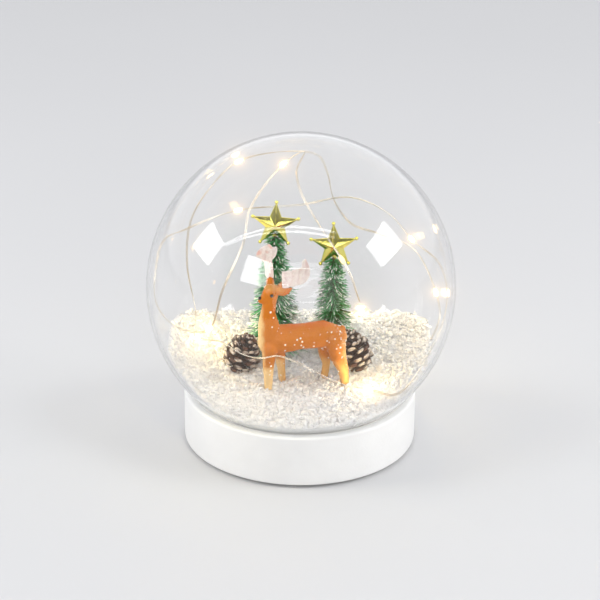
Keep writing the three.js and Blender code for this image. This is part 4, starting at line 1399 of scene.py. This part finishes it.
def cone_scale(wide, draw):
    """One woody scale pointing along X, with its tip thickened and turned up along Z."""
    vertices, tints = [], []
    dusted = draw.random() < 0.75
    for k, (out, half_w, half_t, lift) in enumerate(SCALE_ROWS):
        ragged = draw.gauss(0, 0.05) if k > 1 else 0
        for j in range(8):
            a = 2 * math.pi * j / 8
            w = half_w * wide * math.copysign(abs(math.cos(a)) ** 0.7, math.cos(a))
            t = half_t * math.copysign(abs(math.sin(a)) ** 0.7, math.sin(a))
            rough = draw.gauss(0, 0.03) if k > 1 else 0
            vertices.append((out + ragged + rough, w * (1 + ragged), lift + t + draw.gauss(0, 0.02)))
            # Painted shadow: the underside of each scale, facing in, is near black, part dark brown wood and
            # part the shadow between scales.
            above = math.sin(a) > 0.5
            if dusted and (above or k == 4) and k > 2 and draw.random() < 0.85:
                tints.append(DUSTY * draw.uniform(0.5, 1.1))
            elif above or k == 4:
                tints.append(UMBER * draw.uniform(0.6, 1.5))
            else:
                tints.append(BARK_AND_SHADOW * draw.uniform(0.6, 1.6))
    faces = [(i * 8 + j, (i + 1) * 8 + j, (i + 1) * 8 + (j + 1) % 8, i * 8 + (j + 1) % 8)
             for i in range(4) for j in range(8)]
    faces += [tuple(range(8)), tuple(range(39, 31, -1))]
    return vertices, faces, tints


def pine_cone(side, cone, material, seed):
    """A near-black core, partly painted shadow, and its scales, set in a spiral and opening towards the top.
    """
    draw = random.Random(seed)
    place = Matrix.Translation((cone["x"] * MM, cone["y"] * MM, cone["z"] * MM))
    place = place @ Matrix.Rotation(math.radians(cone["yaw"]), 4, "Z")
    place = place @ Matrix.Rotation(math.radians(90 - cone["pitch"]), 4, "X")
    vertices, faces = [], []
    core = turned("core", [(0, -0.44), (0.15, -0.4), (0.26, -0.2), (0.24, 0.1), (0.14, 0.33), (0, 0.42)], 16)
    scale_up = Matrix.Diagonal((cone["r"] * 1.15 * MM, cone["r"] * 1.15 * MM, cone["length"] * MM, 1))
    core.data.transform(place @ scale_up)
    points = [v.co.copy() for v in core.data.vertices]
    add_skin(vertices, faces, points, [list(p.vertices) for p in core.data.polygons])
    # The core is near black: its own dark brown and painted shadow deep between the scales.
    tints = [BARK_AND_SHADOW] * len(points)
    bpy.data.objects.remove(core)
    for i in range(CONE_SCALES):
        share = (i + 0.5) / CONE_SCALES
        height = (-0.4 + 0.84 * share) * cone["length"] * MM
        belly = math.sin(math.pi * min(0.2 + 0.72 * share, 0.95)) ** 0.7
        reach = cone["r"] * MM * belly * draw.uniform(0.93, 1.06)
        lean = math.radians(-14 + 70 * share**1.6 + draw.gauss(0, 4))
        turn = Matrix.Rotation(i * SPIRAL_TURN + draw.gauss(0, 0.06), 4, "Z") @ Matrix.Rotation(-lean, 4, "Y")
        points, skin, colours = cone_scale(0.6 if share < 0.7 else 0.5, draw)
        local = Matrix.Translation((0, 0, height)) @ turn @ Matrix.Scale(reach, 4)
        add_skin(vertices, faces, [place @ local @ Vector(p) for p in points], skin)
        tints += colours
    piece = mesh_object(f"pine_cone_{side}", vertices, faces)
    fix_normals(piece)
    modifier = piece.modifiers.new("soften", "SUBSURF")
    modifier.levels = 1
    modifier.render_levels = 1
    colour_points(piece, tints)
    apply_modifiers(piece)
    piece.data.shade_smooth()
    give(piece, material)
    return place_on(piece, "globe", "cone_wood", f"pinecone_{side}")


# --- snow dust on the figures -----------------------------------------------------------


DUST_SHAPES = 10
DUST_ON_DEER, DUST_ON_CONE = 170, 50


def snow_dust(tips, deer, material):
    """Flakes that have settled on the bristles and cones and stuck to the deer's flank."""
    draw = random.Random(23)
    shapes = crumb_shapes(DUST_SHAPES, 7)
    places = []
    for tip in tips:
        if draw.random() < 0.1:
            size = draw.uniform(0.35, 0.8) * MM
            places.append((draw.randrange(DUST_SHAPES), random_turn(draw) * size, np.array(tip)))
    mesh = deer.data
    back = DEER_PLACE.inverted()
    wanted = DUST_ON_DEER
    while wanted:
        vertex = mesh.vertices[draw.randrange(len(mesh.vertices))]
        point = back @ vertex.co
        rump = smooth_step(-2, -17, point.x) * smooth_step(8, 14, point.z)
        if draw.random() > 0.12 + rump * 0.85 or point.z > 50:
            continue
        size = draw.choice((0.4, 0.6, 0.9, 1.2)) * MM
        place = np.array(vertex.co + vertex.normal * 0.1 * MM)
        places.append((draw.randrange(DUST_SHAPES), random_turn(draw) * size, place))
        wanted -= 1
    for cone in CONES.values():
        for _ in range(DUST_ON_CONE):
            away = Vector((draw.gauss(0, 1), draw.gauss(0, 1), draw.gauss(0.6, 1))).normalized()
            size = draw.uniform(0.3, 0.8) * MM
            middle = Vector((cone["x"], cone["y"], cone["z"])) * MM
            place = middle + away * draw.uniform(0.8, 1.02) * cone["r"] * MM
            places.append((draw.randrange(DUST_SHAPES), random_turn(draw) * size, np.array(place)))
    dust = merged_copies("snow_dust", shapes, places)
    dust.data.shade_smooth()
    give(dust, material)
    return place_on(dust, "globe", "snow_flock")


# --- cells ------------------------------------------------------------------------------

# Outlines about a cell's own axis, as (radius, height) in millimetres, with the positive end up.
CELL_SLEEVE = [
    (0, -22), (4.2, -22), (4.4, -22.25), (5, -22.25), (5.25, -22), (5.25, 20.9), (4.95, 21.25), (3.6, 21.25),
    (3.5, 21.05), (0, 21.05),
]
CELL_CAP = [
    (0, 20.8), (3.3, 20.8), (3.3, 21.15), (2.05, 21.25), (1.9, 21.4), (1.9, 22.05), (1.7, 22.25), (0, 22.25),
]
CELL_FOOT = [(0, -22.2), (4, -22.2), (4.1, -22.1), (4.1, -21.8), (0, -21.8)]
CELL_X, CELL_Y, CELL_Z, CELL_PITCH = 2.35 * MM, -3.6 * MM, 9.4 * MM, 11.2 * MM
SPRING_X, SPRING_L, SPRING_TURNS = 24.2 * MM, 4 * MM, 3.2
SPRING_WIDE_R, SPRING_NARROW_R, SPRING_WIRE_R = 3.4 * MM, 2 * MM, 0.3 * MM


def lay_along_x(piece, x, y, facing):
    """Lays a piece made about Z along X, pointing to +X or -X."""
    turn = Matrix.Rotation(math.radians(90 * facing), 4, "Y")
    piece.data.transform(Matrix.Translation((x, y, CELL_Z)) @ turn)


def cell(number, wrap, steel):
    """A cell in its shrunk sleeve, with its steel ends, and the conical spring that presses on it."""
    facing = -1 if number == 2 else 1
    y = CELL_Y + (number - 2) * CELL_PITCH
    sleeve = turned(f"cell_sleeve_{number}", [(r * MM, z * MM) for r, z in CELL_SLEEVE], 64)
    ends = [turned("end", [(r * MM, z * MM) for r, z in outline], 48) for outline in (CELL_CAP, CELL_FOOT)]
    metal = joined(f"cell_ends_{number}", ends)
    for piece in (sleeve, metal):
        lay_along_x(piece, facing * CELL_X, y, facing)
        sharpen(piece, 30)
    give(sleeve, wrap)
    place_on(sleeve, "globe", "cell_wrap", f"cell_{number}")
    give(metal, steel)
    place_on(metal, "globe", "bright_steel")
    centres = []
    steps = 110
    for i in range(steps + 1):
        share = i / steps
        angle = share * SPRING_TURNS * 2 * math.pi
        reach = SPRING_WIDE_R + (SPRING_NARROW_R - SPRING_WIDE_R) * share
        centres.append(Vector((-reach * math.sin(angle), reach * math.cos(angle), SPRING_L * share)))
    spring = mesh_object(f"spring_coil_{number}", *strand_mesh(centres, SPRING_WIRE_R, 10))
    lay_along_x(spring, -facing * SPRING_X, y, facing)
    give(spring, steel)
    place_on(spring, "globe", "bright_steel", f"contact_spring_{number}")


# --- stage ------------------------------------------------------------------------------


def panel(name, width, height, radiance):
    """A rectangular light that the camera doesn't see."""
    data = bpy.data.lights.new(name, "AREA")
    data.shape = "RECTANGLE"
    data.size, data.size_y = width, height
    data.energy = radiance * math.pi * width * height
    lamp = in_scene(name, data)
    lamp.visible_camera = False
    return lamp


def area_light(name, azimuth, elevation, distance, width, height, radiance):
    """A soft light that faces the globe, from an azimuth (0 in front, + to the right) and an elevation."""
    lamp = panel(name, width, height, radiance)
    a, e = math.radians(azimuth), math.radians(elevation)
    away = Vector((math.sin(a) * math.cos(e), -math.cos(a) * math.cos(e), math.sin(e)))
    turn = away.to_track_quat("Z", "Y").to_matrix().to_4x4()
    lamp.matrix_world = Matrix.Translation(GLOBE + away * distance) @ turn
    return lamp


def strip_light(name, start, end, height, width, radiance):
    """A long thin light at a height over the globe's centre, facing down."""
    start, end = Vector((*start, height)), Vector((*end, height))
    along = (end - start).normalized()
    lamp = panel(name, (end - start).length, width, radiance)
    middle_point = (start + end) / 2
    away = middle_point - along * middle_point.dot(along)
    away.normalize()
    rows = Matrix((along, away.cross(along), away)).transposed()
    lamp.matrix_world = Matrix.Translation(GLOBE + middle_point) @ rows.to_4x4()
    lamp.visible_diffuse = False


def stage():
    """The room: a white world that darkens behind the camera, the floor and the lights."""
    world = bpy.data.worlds.new("studio")
    bpy.context.scene.world = world
    world.use_nodes = True
    nodes, links = world.node_tree.nodes, world.node_tree.links
    background = nodes["Background"]
    background.inputs["Color"].default_value = (0.96, 0.97, 1.0, 1)
    direction = nodes.new("ShaderNodeTexCoord").outputs["Generated"]
    parts = nodes.new("ShaderNodeSeparateXYZ")
    links.new(direction, parts.inputs[0])
    behind = nodes.new("ShaderNodeMapRange")
    behind.interpolation_type = "SMOOTHSTEP"
    for socket, value in (("From Min", -0.75), ("From Max", 0.05), ("To Min", 0.18), ("To Max", 1.06)):
        behind.inputs[socket].default_value = value
    links.new(parts.outputs["Y"], behind.inputs["Value"])
    links.new(behind.outputs["Result"], background.inputs["Strength"])
    floor = turned("floor", [(0, -0.004), (4, -0.004), (4, -0.0002), (0, -0.0002)], 96)
    look = Material("floor", (0.65, 0.65, 0.655), 0.6)
    tone = look.ramp(look.noise(3, 3), (0.3, (0.645, 0.645, 0.65)), (0.7, (0.66, 0.66, 0.665)))
    look.feed("Base Color", tone)
    look.bump(look.noise(700, 3), 0.0001, 0.2)
    give(floor, look.material)
    area_light("softbox_left", -88.5, 26.5, 1.2, 0.45, 0.36, 7.5)
    area_light("softbox_right", 81.5, 32, 1.2, 0.56, 0.36, 7.5)
    window = area_light("window_front", -37.5, 29.5, 1.5, 0.52, 0.48, 7.5)
    window.visible_diffuse = False
    strip_light("strip_overhead", (-1.45, -0.36), (0.46, -0.46), 1.0, 0.02, 11)
    strip_light("strip_beside", (-1.45, -0.4), (0.46, -0.55), 1.0, 0.02, 11)
    strip_light("strip_high", (-0.64, -1.34), (0.45, -1.345), 1.0, 0.012, 9)
    strip_light("strip_low", (-1.18, -2.13), (-0.33, -2.14), 1.0, 0.014, 7)
    fill = area_light("fill_front", 4, 19, 2.4, 2.2, 1.2, 2.7)
    fill.visible_glossy = False
    view = bpy.context.scene.view_settings
    view.view_transform = "Standard"
    view.look = "None"
    lens_glow()


def lens_glow():
    """The soft bloom that bright bulbs leave in a lens."""
    scene = bpy.context.scene
    scene.use_nodes = True
    nodes, links = scene.node_tree.nodes, scene.node_tree.links
    nodes.clear()
    layers = nodes.new("CompositorNodeRLayers")
    glare = nodes.new("CompositorNodeGlare")
    glare.glare_type = "BLOOM"
    glare.inputs["Threshold"].default_value = 1.5
    glare.inputs["Strength"].default_value = 2.0
    glare.inputs["Size"].default_value = 0.7
    glare.inputs["Tint"].default_value = (1.0, 0.84, 0.42, 1)
    out = nodes.new("CompositorNodeComposite")
    links.new(layers.outputs["Image"], glare.inputs["Image"])
    links.new(glare.outputs["Image"], out.inputs["Image"])


def bulb_light(name, place, watts):
    """The warm light that a bulb throws on what is near it."""
    data = bpy.data.lights.new(name, "POINT")
    data.energy = watts
    data.color = BULB_COLOUR
    data.shadow_soft_size = 1.5 * MM
    lamp = in_scene(name, data)
    lamp.location = place
    lamp.visible_camera = False
    lamp.visible_glossy = False
    lamp.visible_transmission = False


# --- making -----------------------------------------------------------------------------

stage()
wire, wire_path = fairy_wire(fairy_metal())
resins = lit_resin("lit_resin", 6.0), lit_resin("dim_resin", 0.7)
beads = led_beads(*resins, lit_chip("lit_chip", 30.0), lit_chip("dim_chip", 1.5))
glass_shell(clear_glass())
paint = white_paint()
turned_base(paint)
snow = snow_flock()
snow_heap(snow)
snow_flakes(snow)
figure = deer_figure(deer_paint())
deer_spots(figure, moulded("spot_white", (0.9, 0.88, 0.82), roughness=0.35))
deer_beads(moulded("bead_black", (0.01, 0.008, 0.008), roughness=0.12))
flock = antler_flock()
antler("antler_palm_left", ANTLER_NEAR, 3.5, 1.1, flock, "antler_left")
antler("antler_palm_right", ANTLER_FAR, -1.5, -0.8, flock, "antler_right")
stem_look, green, gold, wood = stem_wire(), bristle_green(), gold_plating(), cone_wood()
bristle_tips = []
for number, (side, tree) in enumerate(TREES.items()):
    twisted_stem(side, tree, stem_look)
    bristle_tips += bristles(side, tree, green, 31 + number)
    star(side, tree, (3, -2)[number], gold)
    pine_cone(side, CONES[side], wood, 41 + number)
snow_dust(bristle_tips, figure, snow)

plastic = moulded("white_plastic", (0.8, 0.795, 0.78))
black = moulded("black_plastic", (0.03, 0.03, 0.032))
refined("battery_box", "battery_box_moulding", 0.25 * MM, plastic, "white_plastic")
refined("battery_door", "battery_door_moulding", 0.2 * MM, plastic, "white_plastic", body="door")
refined("switch_slider", "switch_slider_moulding", 0.12 * MM, black, "black_plastic", body="slider")
steel = plated_steel()
for i in range(1, 5):
    refined(f"box_screw_{i}", f"box_screw_{i}_plated", 0.12 * MM, steel, "bright_steel")
give(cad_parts["scene_floor"], paint)
sealant(silicone())
give(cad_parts["foot_pad"], pad_foam())
wrap = cell_wrap()
for i in range(1, 4):
    cell(i, wrap, steel)
for name in ("series_link_a", "series_link_b", "end_contact_minus", "end_contact_plus", "switch_body"):
    give(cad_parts[name], steel)
give(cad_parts["lead_wires"], moulded("lead_sleeve", (0.7, 0.69, 0.66)))
